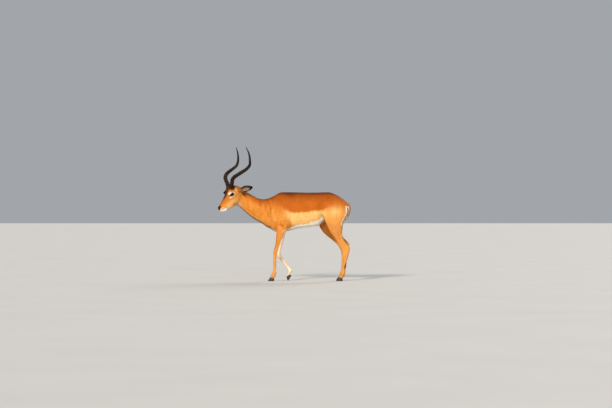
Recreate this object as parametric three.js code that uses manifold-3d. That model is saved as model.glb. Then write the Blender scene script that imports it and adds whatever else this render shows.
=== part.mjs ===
// Adult male impala, life size, standing with its head turned a little to its left.
// Millimetres, +Z up. The animal faces -X and its left side faces -Y. The floor is z = 0.
import * as THREE from "three";
import { mergeVertices } from "three/addons/utils/BufferGeometryUtils.js";
import Module from "manifold-3d";

const wasm = await Module();
wasm.setup();

// ---- general sizes ----
const GAP = 0.35; // the thin cut between neighbouring parts
const BODY_AROUND = 24; // points round a section of the trunk
const NECK_AROUND = 20;
const LEG_AROUND = 12;
const TAIL_AROUND = 10;
const CLAW_AROUND = 12;
const RINGS_PER_GAP = 2; // sections made for each step between two stations

// ---- the head's place: its pivot is the middle of the head's joint with the neck ----
const HEAD_PIVOT = new THREE.Vector3(-436, -45, 900);
const HEAD_YAW = THREE.MathUtils.degToRad(30); // turned to the animal's left
const HEAD_PITCH = THREE.MathUtils.degToRad(45); // nose down

// ---- where the other cuts run ----
const NECK_CUT = 22; // from the head's pivot forward to the cut behind the ears
const NECK_ROOT = new THREE.Vector3(-122, 0, 700);
const NECK_ROOT_LEAN = THREE.MathUtils.degToRad(9);
const FRONT_LEG_TOP = 532;
const FRONT_LEG_INNER = 27;
const GROIN = new THREE.Vector3(402, 0, 598);
const GROIN_SLOPE = THREE.MathUtils.degToRad(34);

// ---- eye, ear and horn ----
const EYE_RADIUS = 19;
const EYE_PLACE = new THREE.Vector3(109, 39.5, 75); // along the nose, to the side, up
const BROW_RADIUS = 25;
const BROW_PLACE = new THREE.Vector3(103, 35, 81);
const EAR_LENGTH = 151;
const EAR_HALF_WIDTH = 30;
const EAR_ROOT_RADIUS = 14;
const EAR_THICKNESS = 3.2;
const EAR_CUP = 0.95; // how far the leaf rolls up, in radians to each side
const EAR_ROOT = new THREE.Vector3(10, 43, 43);
const HORN_BASE_FORWARD = 136; // from the pivot, level
const HORN_BASE_RADIUS = 20.5;
const HORN_TIP_RADIUS = 2.4;
const HORN_RIDGES = 12;
const HORN_RIDGED_PART = 0.66; // of the horn's length, from the base
const HORN_RIDGE_DEPTH = 0.075; // of the radius
// height above the floor, way back from the base, half the spread
const HORN_PATH = [
  [946, 4, 29],
  [985, 5, 47],
  [1040, 1, 83],
  [1090, 48, 141],
  [1132, 111, 158],
  [1173, 158, 142],
  [1219, 169, 128],
  [1289, 163, 119],
  [1358, 136, 103],
];

// ---- hoof ----
const CLAW_LENGTH = 64;
const CLAW_HALF_WIDTH = 11.2;
const CLAW_HEIGHT = 37; // at the front of the coronet
const CLAW_HEEL_HEIGHT = 25;
const CLAW_SPREAD = 12.4; // from the foot's middle to a claw's middle
const CORONET_HALF_WIDTH = 22; // of the whole foot
const TOE_WEAR = 3.5; // taken off the toe of a tipped hoof, so that it rests on a flat

// The stations of each part. Each is one section seen from the side: its front (or upper)
// edge and its rear (or lower) edge, [x, z], its half width, its middle y, how square it is
// (2 is an ellipse) and how much wider it is toward its front or upper edge.
const TRUNK = {
  chestFront: { front: [-196, 742], rear: [-190, 600], half: 34 },
  breast: { front: [-152, 832], rear: [-158, 541], half: 66, lean: -0.05 },
  shoulder: { front: [-91, 873], rear: [-96, 501], half: 90, lean: -0.12 },
  withers: { front: [-39, 901], rear: [-39, 499], half: 103, lean: -0.14 },
  elbow: { front: [42, 904], rear: [42, 509], half: 112, square: 2.2, lean: -0.1 },
  ribs: { front: [140, 902], rear: [140, 533], half: 123, square: 2.2, lean: -0.07 },
  barrel: { front: [248, 900], rear: [248, 546], half: 128, square: 2.25, lean: -0.06 },
  flank: { front: [347, 901], rear: [347, 563], half: 118, square: 2.2, lean: 0.02 },
  fold: { front: [412, 903], rear: [404, 611], half: 106, square: 2.2, lean: 0.08 },
  loin: { front: [472, 901], rear: [466, 640], half: 103, square: 2.2, lean: 0.04 },
  haunch: { front: [533, 877], rear: [531, 642], half: 100, square: 2.2 },
  croup: { front: [581, 849], rear: [585, 650], half: 90 },
  tailHead: { front: [624, 819], rear: [630, 672], half: 72 },
  buttock: { front: [650, 789], rear: [650, 699], half: 42 },
  point: { front: [662, 762], rear: [663, 728], half: 14 },
};
const NECK = {
  nape: { front: [-452, 944], rear: [-518, 790], half: 50, y: -50 },
  throat: { front: [-404, 920], rear: [-474, 764], half: 56, y: -43 },
  upper: { front: [-352, 892], rear: [-426, 724], half: 60, y: -34 },
  middle: { front: [-280, 851], rear: [-350, 657], half: 66, y: -21 },
  lower: { front: [-212, 834], rear: [-280, 609], half: 73, y: -10 },
  base: { front: [-150, 846], rear: [-216, 572], half: 82, y: -3, lean: -0.05 },
  root: { front: [-95, 868], rear: [-150, 530], half: 88, lean: -0.1 },
  inside: { front: [-45, 850], rear: [-90, 560], half: 76, lean: -0.1 },
};
// In the head's own frame: [along the nose, up] from the pivot.
const HEAD = {
  inside: { front: [-34, 40], rear: [-10, -58], half: 40 },
  poll: { front: [-6, 94], rear: [18, -62], half: 53, square: 2.1 },
  crown: { front: [38, 132], rear: [52, -62], half: 56, square: 2.2, lean: 0.02 },
  hornSeat: { front: [74, 150], rear: [86, -61], half: 55, square: 2.2, lean: 0.03 },
  brow: { front: [103, 135], rear: [110, -57], half: 53, square: 2.25, lean: 0.04 },
  cheek: { front: [133, 120], rear: [138, -53], half: 47, square: 2.2, lean: 0 },
  face: { front: [164, 108], rear: [172, -40], half: 39, square: 2.1, lean: -0.1 },
  bridge: { front: [208, 96], rear: [218, -24], half: 32, square: 2.1, lean: -0.16 },
  muzzle: { front: [243, 87], rear: [253, -9], half: 29, square: 2.2, lean: -0.14 },
  nostrils: { front: [272, 79], rear: [279, 4], half: 27.5, square: 2.3, lean: -0.06 },
  lips: { front: [289, 76], rear: [294, 15], half: 25, square: 2.3, lean: 0.02 },
  noseTip: { front: [301, 67], rear: [302, 34], half: 15, square: 2.1 },
};
const FRONT_LEFT = {
  inside: { front: [-86, 676], rear: [24, 676], half: 16, y: -76 },
  shoulder: { front: [-100, 622], rear: [40, 622], half: 28, y: -76 },
  upperArm: { front: [-99, 560], rear: [40, 560], half: 37, y: -76 },
  elbow: { front: [-81, 506], rear: [22, 506], half: 34, y: -74 },
  forearm: { front: [-82, 429], rear: [-20, 429], half: 26, y: -71 },
  aboveKnee: { front: [-90, 360], rear: [-45, 360], half: 21, y: -69 },
  knee: { front: [-105, 303], rear: [-63, 303], half: 22, y: -68, square: 2.5 },
  belowKnee: { front: [-108, 255], rear: [-71, 255], half: 17, y: -68 },
  cannon: { front: [-109, 180], rear: [-78, 180], half: 14.5, y: -67 },
  aboveFetlock: { front: [-110, 124], rear: [-77, 124], half: 15.5, y: -67 },
  fetlock: { front: [-117, 92], rear: [-74, 90], half: 19, y: -67, square: 2.3 },
  pastern: { front: [-129, 62], rear: [-89, 54], half: 18.5, y: -67 },
};
const FRONT_RIGHT = {
  inside: { front: [-80, 676], rear: [20, 676], half: 16, y: 76 },
  shoulder: { front: [-94, 622], rear: [36, 622], half: 28, y: 76 },
  upperArm: { front: [-92, 560], rear: [36, 560], half: 37, y: 76 },
  elbow: { front: [-78, 506], rear: [22, 506], half: 34, y: 74 },
  forearm: { front: [-76, 438], rear: [5, 434], half: 27, y: 71 },
  aboveKnee: { front: [-72, 366], rear: [-18, 358], half: 21.5, y: 69 },
  knee: { front: [-84, 297], rear: [-37, 303], half: 22, y: 68, square: 2.5 },
  belowKnee: { front: [-67, 245], rear: [-30, 258], half: 17, y: 67 },
  cannon: { front: [-19, 186], rear: [7, 204], half: 14.5, y: 66 },
  aboveFetlock: { front: [26, 122], rear: [54, 140], half: 15.5, y: 66 },
  fetlock: { front: [42, 92], rear: [83, 106], half: 19, y: 66, square: 2.3 },
  pastern: { front: [33, 68], rear: [69, 87], half: 18.5, y: 66 },
};
const HIND_LEFT = {
  inside: { front: [430, 806], rear: [622, 780], half: 40, y: -46 },
  hip: { front: [376, 752], rear: [656, 752], half: 52, y: -56 },
  thigh: { front: [371, 704], rear: [661, 706], half: 59, y: -62 },
  lowThigh: { front: [397, 649], rear: [634, 649], half: 60, y: -65 },
  stifle: { front: [419, 592], rear: [605, 592], half: 54, y: -66 },
  gaskin: { front: [461, 500], rear: [592, 506], half: 38, y: -66 },
  lowGaskin: { front: [512, 432], rear: [600, 440], half: 28, y: -66 },
  aboveHock: { front: [551, 376], rear: [634, 385], half: 23, y: -66 },
  hock: { front: [578, 324], rear: [669, 340], half: 22.5, y: -66, square: 2.4 },
  belowHock: { front: [593, 272], rear: [659, 272], half: 20, y: -66, square: 2.3 },
  cannon: { front: [600, 200], rear: [638, 200], half: 16, y: -65 },
  aboveFetlock: { front: [588, 122], rear: [623, 122], half: 16, y: -65 },
  fetlock: { front: [578, 88], rear: [621, 86], half: 19, y: -65, square: 2.3 },
  pastern: { front: [566, 60], rear: [607, 52], half: 18.5, y: -65 },
};
const HIND_RIGHT = {
  inside: { front: [420, 806], rear: [622, 780], half: 40, y: 46 },
  hip: { front: [362, 752], rear: [656, 752], half: 52, y: 56 },
  thigh: { front: [344, 704], rear: [660, 706], half: 59, y: 62 },
  lowThigh: { front: [341, 649], rear: [633, 649], half: 60, y: 65 },
  stifle: { front: [339, 592], rear: [602, 592], half: 55, y: 66 },
  gaskin: { front: [392, 494], rear: [586, 506], half: 39, y: 66 },
  lowGaskin: { front: [468, 430], rear: [600, 450], half: 29, y: 66 },
  aboveHock: { front: [520, 386], rear: [636, 412], half: 24, y: 66 },
  hock: { front: [556, 344], rear: [668, 371], half: 22.5, y: 66, square: 2.4 },
  belowHock: { front: [580, 296], rear: [647, 303], half: 20, y: 66, square: 2.3 },
  cannon: { front: [585, 214], rear: [622, 214], half: 16, y: 65 },
  aboveFetlock: { front: [580, 130], rear: [614, 130], half: 16, y: 65 },
  fetlock: { front: [573, 94], rear: [616, 92], half: 19, y: 65, square: 2.3 },
  pastern: { front: [563, 62], rear: [604, 54], half: 18.5, y: 65 },
};
const TAIL = {
  inside: { front: [643, 812], rear: [612, 800], half: 13 },
  root: { front: [668, 784], rear: [644, 770], half: 15 },
  upper: { front: [679, 742], rear: [658, 739], half: 17 },
  middle: { front: [672, 697], rear: [650, 698], half: 17 },
  lower: { front: [650, 646], rear: [630, 652], half: 15 },
  end: { front: [627, 596], rear: [617, 600], half: 5 },
};
// Where each foot stands: its toe's [x, y] and how many degrees the hoof tips onto its toe.
const FEET = {
  front_left: { toe: [-164, -67], tip: 0 },
  front_right: { toe: [40, 66], tip: 56 },
  hind_left: { toe: [531, -65], tip: 0 },
  hind_right: { toe: [528, 65], tip: 0 },
};

// ---- colours ----
const COAT = 0xc5702a;
const PALE_COAT = 0xd98f45;
const HORN_BLACK = 0x2a2420;
const HOOF_BLACK = 0x1c1917;
const EYE_BROWN = 0x140d0a;

function material(colour, roughness) {
  return new THREE.MeshStandardMaterial({ color: colour, roughness, metalness: 0 });
}

// A closed surface through equal rings of points, its two ends filled flat.
function loft(rings) {
  const around = rings[0].length;
  const points = rings.flat();
  const faces = [];
  for (let ring = 0; ring < rings.length - 1; ring += 1) {
    for (let i = 0; i < around; i += 1) {
      const here = ring * around + i;
      const next = ring * around + ((i + 1) % around);
      faces.push(here, next, next + around);
      faces.push(here, next + around, here + around);
    }
  }
  const last = (rings.length - 1) * around;
  for (let i = 1; i < around - 1; i += 1) {
    faces.push(0, i + 1, i);
    faces.push(last, last + i, last + i + 1);
  }
  const geometry = new THREE.BufferGeometry().setFromPoints(points);
  geometry.setIndex(faces);
  return geometry;
}

// A three.js geometry as a solid, turned right side out.
function solidOf(geometry) {
  const bare = geometry.clone();
  bare.deleteAttribute("normal");
  bare.deleteAttribute("uv");
  const merged = mergeVertices(bare, 1e-3);
  const build = (triVerts) =>
    new wasm.Manifold(
      new wasm.Mesh({ numProp: 3, vertProperties: merged.attributes.position.array, triVerts }),
    );
  const corners = new Uint32Array(merged.index.array);
  const solid = build(corners);
  return solid.volume() > 0 ? solid : build(corners.reverse());
}

// A solid back as a three.js mesh with a name.
function meshOf(name, solid, look) {
  const { vertProperties, triVerts } = solid.getMesh();
  const geometry = new THREE.BufferGeometry();
  geometry.setAttribute("position", new THREE.BufferAttribute(new Float32Array(vertProperties), 3));
  geometry.setIndex(new THREE.BufferAttribute(new Uint32Array(triVerts), 1));
  geometry.computeVertexNormals();
  const mesh = new THREE.Mesh(geometry, look);
  mesh.name = name;
  return mesh;
}

// A cosine or sine drawn out toward a square's: 2 leaves the circle as it is.
function squared(value, square) {
  return Math.sign(value) * Math.abs(value) ** (2 / square);
}

function sectionRing(front, rear, half, middleY, square, lean, around) {
  const ring = [];
  for (let i = 0; i < around; i += 1) {
    const angle = (i / around) * 2 * Math.PI;
    const along = squared(Math.cos(angle), square);
    const across = squared(Math.sin(angle), square) * (1 + lean * Math.cos(angle));
    const share = (1 + along) / 2;
    const x = THREE.MathUtils.lerp(rear.x, front.x, share);
    const z = THREE.MathUtils.lerp(rear.y, front.y, share);
    ring.push(new THREE.Vector3(x, middleY + half * across, z));
  }
  return ring;
}

// A smooth run through one pair of values of each station.
function runOf(stations, pick) {
  return new THREE.SplineCurve(stations.map((station) => new THREE.Vector2(...pick(station))));
}

// A rounded body through its stations, grown outward by a margin where one is asked for.
function bodyThrough(stationsByName, around, grow = 0, ringsPerGap = RINGS_PER_GAP) {
  const stations = Object.values(stationsByName);
  const front = runOf(stations, (station) => station.front);
  const rear = runOf(stations, (station) => station.rear);
  const width = runOf(stations, (station) => [station.half + grow, station.y ?? 0]);
  const form = runOf(stations, (station) => [station.square ?? 2, station.lean ?? 0]);
  const steps = (stations.length - 1) * ringsPerGap;
  const rings = [];
  for (let step = 0; step <= steps; step += 1) {
    const t = step / steps;
    const edgeFront = front.getPoint(t);
    const edgeRear = rear.getPoint(t);
    const outward = edgeFront.clone().sub(edgeRear).setLength(grow);
    const { x: half, y: middleY } = width.getPoint(t);
    const { x: square, y: lean } = form.getPoint(t);
    edgeFront.add(outward);
    edgeRear.sub(outward);
    rings.push(sectionRing(edgeFront, edgeRear, half, middleY, square, lean, around));
  }
  return loft(rings);
}

// ---- the head's frames: its own (along the nose, left, up) and the level one of its heading ----
const headFrame = new THREE.Matrix4().makeRotationFromEuler(
  new THREE.Euler(0, HEAD_PITCH, Math.PI + HEAD_YAW, "ZYX"),
);
headFrame.setPosition(HEAD_PIVOT);
const headingFrame = new THREE.Matrix4().makeRotationZ(Math.PI + HEAD_YAW);
headingFrame.setPosition(HEAD_PIVOT.x, HEAD_PIVOT.y, 0);

// Puts a point given for the left side of the head on either side.
function sidewise(point, side) {
  return new THREE.Vector3(point.x, point.y * side, point.z);
}

function ball(radius, place, widthSegments) {
  const geometry = new THREE.SphereGeometry(radius, widthSegments, widthSegments / 2);
  geometry.rotateX(Math.PI / 2);
  geometry.translate(place.x, place.y, place.z);
  return geometry.applyMatrix4(headFrame);
}

function headSolid() {
  let solid = solidOf(bodyThrough(HEAD, NECK_AROUND).applyMatrix4(headFrame));
  for (const side of [1, -1]) {
    solid = solid.add(solidOf(ball(BROW_RADIUS, sidewise(BROW_PLACE, side), 14)));
  }
  return solid;
}

function eyeSolid(side, grow) {
  return solidOf(ball(EYE_RADIUS + grow, sidewise(EYE_PLACE, side), 14));
}

// A section of the ear: a thick arc, closed over at the root where the ear is a tube.
function earRing(centre, across, inward, halfWidth, cup, thickness, around) {
  const ring = [];
  const half = around / 2;
  const bend = halfWidth / Math.sin(Math.min(cup, Math.PI / 2));
  for (let i = 0; i < around; i += 1) {
    const outer = i < half;
    const share = outer ? i / (half - 1) : 1 - (i - half) / (half - 1);
    const angle = cup * (2 * share - 1);
    const radius = outer ? bend + thickness / 2 : bend - thickness / 2;
    const point = centre.clone();
    point.addScaledVector(across, radius * Math.sin(angle));
    point.addScaledVector(inward, bend - radius * Math.cos(angle));
    ring.push(point);
  }
  return ring;
}

// A leaf-shaped ear along an axis, its hollow facing the opening direction.
function earSolid(side, axis, opening, grow) {
  const along = axis.clone().normalize();
  const across = new THREE.Vector3().crossVectors(along, opening).normalize();
  const inward = new THREE.Vector3().crossVectors(across, along);
  const root = sidewise(EAR_ROOT, side).applyMatrix4(headFrame);
  const steps = 11;
  const rings = [];
  for (let step = 0; step <= steps; step += 1) {
    const t = step / steps;
    const leaf = Math.sin(Math.PI * t ** 0.8) ** 0.7;
    const rootShare = (1 - t) ** 5;
    const tipWidth = 1.2;
    const halfWidth = EAR_ROOT_RADIUS * rootShare + EAR_HALF_WIDTH * leaf * (1 - rootShare) + tipWidth;
    const cup = THREE.MathUtils.lerp(EAR_CUP, 1.35, rootShare) * (1 - 0.45 * t);
    const centre = root.clone().addScaledVector(along, EAR_LENGTH * t);
    centre.addScaledVector(inward, -6 * Math.sin(Math.PI * t));
    const thickness = THREE.MathUtils.lerp(EAR_THICKNESS, 9, rootShare) + 2 * grow;
    rings.push(earRing(centre, across, inward, halfWidth + grow, cup, thickness, 14));
  }
  return solidOf(loft(rings));
}

// The left ear is laid back and out, the right one is held out to the side.
function earDirections(side) {
  const leftWay = { axis: [-78, 127, 27], opening: [0.78, 0.56, -0.14] };
  const rightWay = { axis: [70, -133, -30], opening: [0.85, 0.4, -0.3] };
  const way = side > 0 ? leftWay : rightWay;
  const turned = new THREE.Euler(0, 0, Math.PI + HEAD_YAW);
  return {
    axis: new THREE.Vector3(...way.axis).applyEuler(turned),
    opening: new THREE.Vector3(...way.opening).applyEuler(turned),
  };
}

function ear(side, grow = 0) {
  const { axis, opening } = earDirections(side);
  return earSolid(side, axis, opening, grow);
}

// A horn: round sections along its path, with ridges that stand out most in front.
function horn(side, grow = 0) {
  const points = HORN_PATH.map(([height, back, spread]) =>
    new THREE.Vector3(HORN_BASE_FORWARD - back, spread * side, height).applyMatrix4(headingFrame),
  );
  const path = new THREE.CatmullRomCurve3(points, false, "centripetal");
  const stepsPerRidge = 2;
  const steps = Math.round((HORN_RIDGES * stepsPerRidge) / HORN_RIDGED_PART);
  const around = 8;
  const forward = new THREE.Vector3(-Math.cos(HEAD_YAW), -Math.sin(HEAD_YAW), 0);
  const rings = [];
  for (let step = 0; step <= steps; step += 1) {
    const t = step / steps;
    const centre = path.getPointAt(t);
    const tangent = path.getTangentAt(t);
    const across = new THREE.Vector3().crossVectors(tangent, forward).normalize();
    const front = new THREE.Vector3().crossVectors(across, tangent);
    const taper = HORN_TIP_RADIUS + (HORN_BASE_RADIUS - HORN_TIP_RADIUS) * (1 - t ** 2) ** 0.82;
    const onRidge = step % stepsPerRidge === 1 && t < HORN_RIDGED_PART ? 1 : -0.4;
    const ridge = t < HORN_RIDGED_PART ? onRidge * HORN_RIDGE_DEPTH * (1 - 0.5 * t) : 0;
    const ring = [];
    for (let i = 0; i < around; i += 1) {
      const angle = (i / around) * 2 * Math.PI;
      const radius = taper * (1 + ridge * (1 + 0.6 * Math.cos(angle))) + grow;
      const point = centre.clone();
      point.addScaledVector(front, radius * Math.cos(angle));
      point.addScaledVector(across, radius * Math.sin(angle));
      ring.push(point);
    }
    rings.push(ring);
  }
  return solidOf(loft(rings));
}

// A point of a hoof as [x, z], from how far back from the toe and how far up from the sole
// it is. A tipped hoof turns about its toe, which is worn flat where it meets the floor.
function hoofPoint(foot, back, up) {
  const turn = THREE.MathUtils.degToRad(foot.tip);
  const turned = new THREE.Vector2(back, up).rotateAround(new THREE.Vector2(), turn);
  return [foot.toe[0] + turned.x, turned.y - (foot.tip ? TOE_WEAR : 0)];
}

// The front and rear of the coronet, where skin meets hoof, at a distance above it.
function coronet(foot, above) {
  return {
    front: hoofPoint(foot, CLAW_LENGTH * 0.38, CLAW_HEIGHT + above),
    rear: hoofPoint(foot, CLAW_LENGTH * 0.98, CLAW_HEEL_HEIGHT + above),
  };
}

// One claw of a cloven hoof: slices from its sole up to the coronet.
function claw(foot, side) {
  const place = (back, up) => hoofPoint(foot, back, up);
  const top = coronet(foot, 0);
  const y = foot.toe[1] + side * CLAW_SPREAD;
  const half = CLAW_HALF_WIDTH;
  const stations = {
    sole: { front: place(0, 0), rear: place(CLAW_LENGTH, 0), half: half - 0.6, lean: -0.3 },
    wall: { front: place(3, 8), rear: place(CLAW_LENGTH + 1.5, 7), half, lean: -0.3 },
    upper: { front: place(14, 24), rear: place(CLAW_LENGTH + 1, 17), half, lean: -0.2 },
    coronet: { front: top.front, rear: top.rear, half: half - 1, lean: -0.1 },
  };
  Object.values(stations).forEach((station) => Object.assign(station, { y }));
  const solid = solidOf(bodyThrough(stations, CLAW_AROUND, 0, 1));
  return foot.tip ? solid.subtract(belowFloor()) : solid;
}

function boxSolid(size, matrix, grow = 0) {
  const geometry = new THREE.BoxGeometry(size[0] + 2 * grow, size[1] + 2 * grow, size[2] + 2 * grow);
  return solidOf(geometry.applyMatrix4(matrix));
}

function belowFloor() {
  return boxSolid([4000, 1000, 1000], new THREE.Matrix4().makeTranslation(0, 0, -500));
}

// ---- the regions that part the flesh: a box each, with room to spare on its free sides ----
function headRegion(grow) {
  const size = [600, 500, 700];
  const matrix = headingFrame.clone();
  matrix.multiply(new THREE.Matrix4().makeTranslation(NECK_CUT + size[0] / 2, 0, HEAD_PIVOT.z));
  return boxSolid(size, matrix, grow);
}

// Its rear face leans through the foot of the neck, and its lower face clears the legs.
function neckRegion(grow) {
  const size = [800, 600, 780];
  const rise = 180;
  const matrix = new THREE.Matrix4().makeTranslation(NECK_ROOT.x, 0, NECK_ROOT.z);
  matrix.multiply(new THREE.Matrix4().makeRotationY(NECK_ROOT_LEAN));
  matrix.multiply(new THREE.Matrix4().makeTranslation(-size[0] / 2, 0, rise));
  return boxSolid(size, matrix, grow);
}

function frontLegRegion(side, grow) {
  const size = [420, 300, 800];
  const middleY = side * (FRONT_LEG_INNER + size[1] / 2);
  const matrix = new THREE.Matrix4().makeTranslation(-20, middleY, FRONT_LEG_TOP - size[2] / 2);
  return boxSolid(size, matrix, grow);
}

// Its upper face climbs from the groin to below the tail head.
function hindLegRegion(side, grow) {
  const size = [900, 400, 1000];
  const middleY = side * (size[1] / 2 + GAP / 2);
  const matrix = new THREE.Matrix4().makeTranslation(GROIN.x, 0, GROIN.z);
  matrix.multiply(new THREE.Matrix4().makeRotationY(-GROIN_SLOPE));
  matrix.multiply(new THREE.Matrix4().makeTranslation(150, middleY, -size[2] / 2));
  return boxSolid(size, matrix, grow);
}

// A leg's stations down to the coronet of its own foot.
function legWithFoot(stations, foot) {
  const end = { ...coronet(foot, GAP), half: CORONET_HALF_WIDTH, y: foot.toe[1], square: 2.4 };
  return solidOf(bodyThrough({ ...stations, end }, LEG_AROUND));
}

function fleshSolid() {
  const pieces = [
    solidOf(bodyThrough(NECK, NECK_AROUND)),
    headSolid(),
    legWithFoot(FRONT_LEFT, FEET.front_left),
    legWithFoot(FRONT_RIGHT, FEET.front_right),
    legWithFoot(HIND_LEFT, FEET.hind_left),
    legWithFoot(HIND_RIGHT, FEET.hind_right),
  ];
  return pieces.reduce((whole, piece) => whole.add(piece), solidOf(bodyThrough(TRUNK, BODY_AROUND)));
}

// Takes the part of a solid that lies in a region, and what is left across a thin cut.
function partBy(solid, region) {
  return [solid.intersect(region(0)), solid.subtract(region(GAP))];
}

function fleshParts() {
  let rest = fleshSolid();
  const parts = {};
  const cuts = {
    head: headRegion,
    neck: neckRegion,
    leg_front_left: (grow) => frontLegRegion(-1, grow),
    leg_front_right: (grow) => frontLegRegion(1, grow),
    leg_hind_left: (grow) => hindLegRegion(-1, grow),
    leg_hind_right: (grow) => hindLegRegion(1, grow),
  };
  for (const [name, region] of Object.entries(cuts)) {
    [parts[name], rest] = partBy(rest, region);
  }
  parts.trunk = rest;
  return parts;
}

function impala() {
  const group = new THREE.Group();
  const parts = fleshParts();
  for (const [name, side] of [["left", 1], ["right", -1]]) {
    parts.head = parts.head.subtract(eyeSolid(side, GAP));
    parts.head = parts.head.subtract(horn(side, GAP)).subtract(ear(side, GAP));
    group.add(meshOf(`eye_${name}`, eyeSolid(side, 0), material(EYE_BROWN, 0.08)));
    group.add(meshOf(`horn_${name}`, horn(side), material(HORN_BLACK, 0.45)));
    group.add(meshOf(`ear_${name}`, ear(side), material(PALE_COAT, 0.85)));
  }
  const tailGrown = solidOf(bodyThrough(TAIL, TAIL_AROUND, GAP));
  for (const name of ["trunk", "leg_hind_left", "leg_hind_right"]) {
    parts[name] = parts[name].subtract(tailGrown);
  }
  group.add(meshOf("tail", solidOf(bodyThrough(TAIL, TAIL_AROUND)), material(COAT, 0.85)));
  for (const [name, solid] of Object.entries(parts)) {
    group.add(meshOf(name, solid, material(name === "head" ? PALE_COAT : COAT, 0.85)));
  }
  for (const [name, foot] of Object.entries(FEET)) {
    const outward = Math.sign(foot.toe[1]);
    for (const [place, side] of [["outer", outward], ["inner", -outward]]) {
      group.add(meshOf(`hoof_${name}_${place}`, claw(foot, side), material(HOOF_BLACK, 0.5)));
    }
  }
  const box = new THREE.Box3().setFromObject(group);
  const middle = box.getCenter(new THREE.Vector3());
  group.position.set(-middle.x, -middle.y, -box.min.z);
  return group;
}

export default impala();
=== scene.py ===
import math
import bmesh
import bpy
import numpy as np
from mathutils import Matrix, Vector
from mathutils.kdtree import KDTree


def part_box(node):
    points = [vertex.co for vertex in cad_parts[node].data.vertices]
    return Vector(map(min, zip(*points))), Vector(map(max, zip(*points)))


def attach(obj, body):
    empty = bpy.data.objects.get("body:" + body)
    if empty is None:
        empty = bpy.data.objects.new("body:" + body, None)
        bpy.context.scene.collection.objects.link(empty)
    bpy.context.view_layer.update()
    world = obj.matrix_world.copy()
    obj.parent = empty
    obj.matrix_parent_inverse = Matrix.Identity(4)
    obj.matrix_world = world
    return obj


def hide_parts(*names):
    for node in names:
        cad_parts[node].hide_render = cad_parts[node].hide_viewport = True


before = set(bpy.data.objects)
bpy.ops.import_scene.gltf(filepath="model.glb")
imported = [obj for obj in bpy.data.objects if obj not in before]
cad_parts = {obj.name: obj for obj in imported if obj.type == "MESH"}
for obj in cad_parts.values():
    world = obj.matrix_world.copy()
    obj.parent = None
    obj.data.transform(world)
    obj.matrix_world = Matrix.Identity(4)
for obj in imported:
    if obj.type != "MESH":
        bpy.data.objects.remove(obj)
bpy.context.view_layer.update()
rng = np.random.default_rng(11)
scene = bpy.context.scene
scene.view_settings.view_transform = "Standard"


pictureFrame = {
    "width": 612, "height": 408,          # pixels
    "floorRow": 281.0,                    # where the floor lies under the animal
    "originColumn": 284.0,                # where the body's own x = 0 lies
    "pixel": 0.01015,                     # metres on the animal for each pixel
    "distance": 20.0, "sensor": 36.0,
}

# the head turns 30 degrees to its left and drops 45; lengths in metres in the head's own axes
headPose = {
    "yaw": 30, "pitch": 45, "pivot": (-0.436, -0.045, 0.900),
    "eye": (0.109, 0.0395, 0.075), "eyeTilt": 11,      # degrees from the line of the nose
    "mouth": (0.246, 0.027), "mouthSlope": 0.27,       # its corner, and how it climbs forward
}


def boxMiddle(node):
    low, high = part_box(node)
    return (np.array(low) + np.array(high)) / 2


def unit(v):
    return v / np.maximum(np.linalg.norm(v, axis=-1, keepdims=True), 1e-9)


yaw, pitch = math.radians(headPose["yaw"]), math.radians(headPose["pitch"])
heading = np.array([-math.cos(yaw), -math.sin(yaw), 0.0])
noseAxis = heading * math.cos(pitch) - np.array([0, 0, math.sin(pitch)])
crownAxis = heading * math.sin(pitch) + np.array([0, 0, math.cos(pitch)])
leftAxis = np.array([math.sin(yaw), -math.cos(yaw), 0.0])
eyesMiddle = (boxMiddle("eye_left") + boxMiddle("eye_right")) / 2
headPivot = eyesMiddle - noseAxis * headPose["eye"][0] - crownAxis * headPose["eye"][2]
bodyShift = headPivot - np.array(headPose["pivot"])   # from the body's own numbers to the frame


def toHead(points):
    # along the nose, to the left, and up toward the crown
    q = points - headPivot
    return q @ noseAxis, q @ leftAxis, q @ crownAxis


def mouthHeight(u):
    # where the lips meet, at u along the nose
    corner, height = headPose["mouth"]
    return height + (u - corner) * headPose["mouthSlope"]


def fromHead(along, left, up):
    return headPivot + along * noseAxis + left * leftAxis + up * crownAxis


def addCamera():
    # level with the middle row of the frame, far enough off to see the animal square on
    p = pictureFrame
    data = bpy.data.cameras.new("camera")
    data.sensor_width = p["sensor"]
    data.lens = p["distance"] * p["sensor"] / (p["width"] * p["pixel"])
    camera = bpy.data.objects.new("camera", data)
    x = (p["width"] / 2 - p["originColumn"]) * p["pixel"] + bodyShift[0]
    z = (p["floorRow"] - p["height"] / 2) * p["pixel"]
    camera.location = (x, -p["distance"], z)
    camera.rotation_euler = (math.pi / 2, 0, 0)
    scene.collection.objects.link(camera)
    scene.camera = camera


addCamera()
print("camera set")


def ramp(low, high, value):
    # 0 below low, 1 above high, smooth between; works downwards too
    t = np.clip((value - low) / (high - low), 0, 1)
    return t * t * (3 - 2 * t)


def hump(distance, width):
    return np.exp(-(distance / width) ** 2)


def along(stations, values, at):
    return np.interp(at, stations, values)


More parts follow.
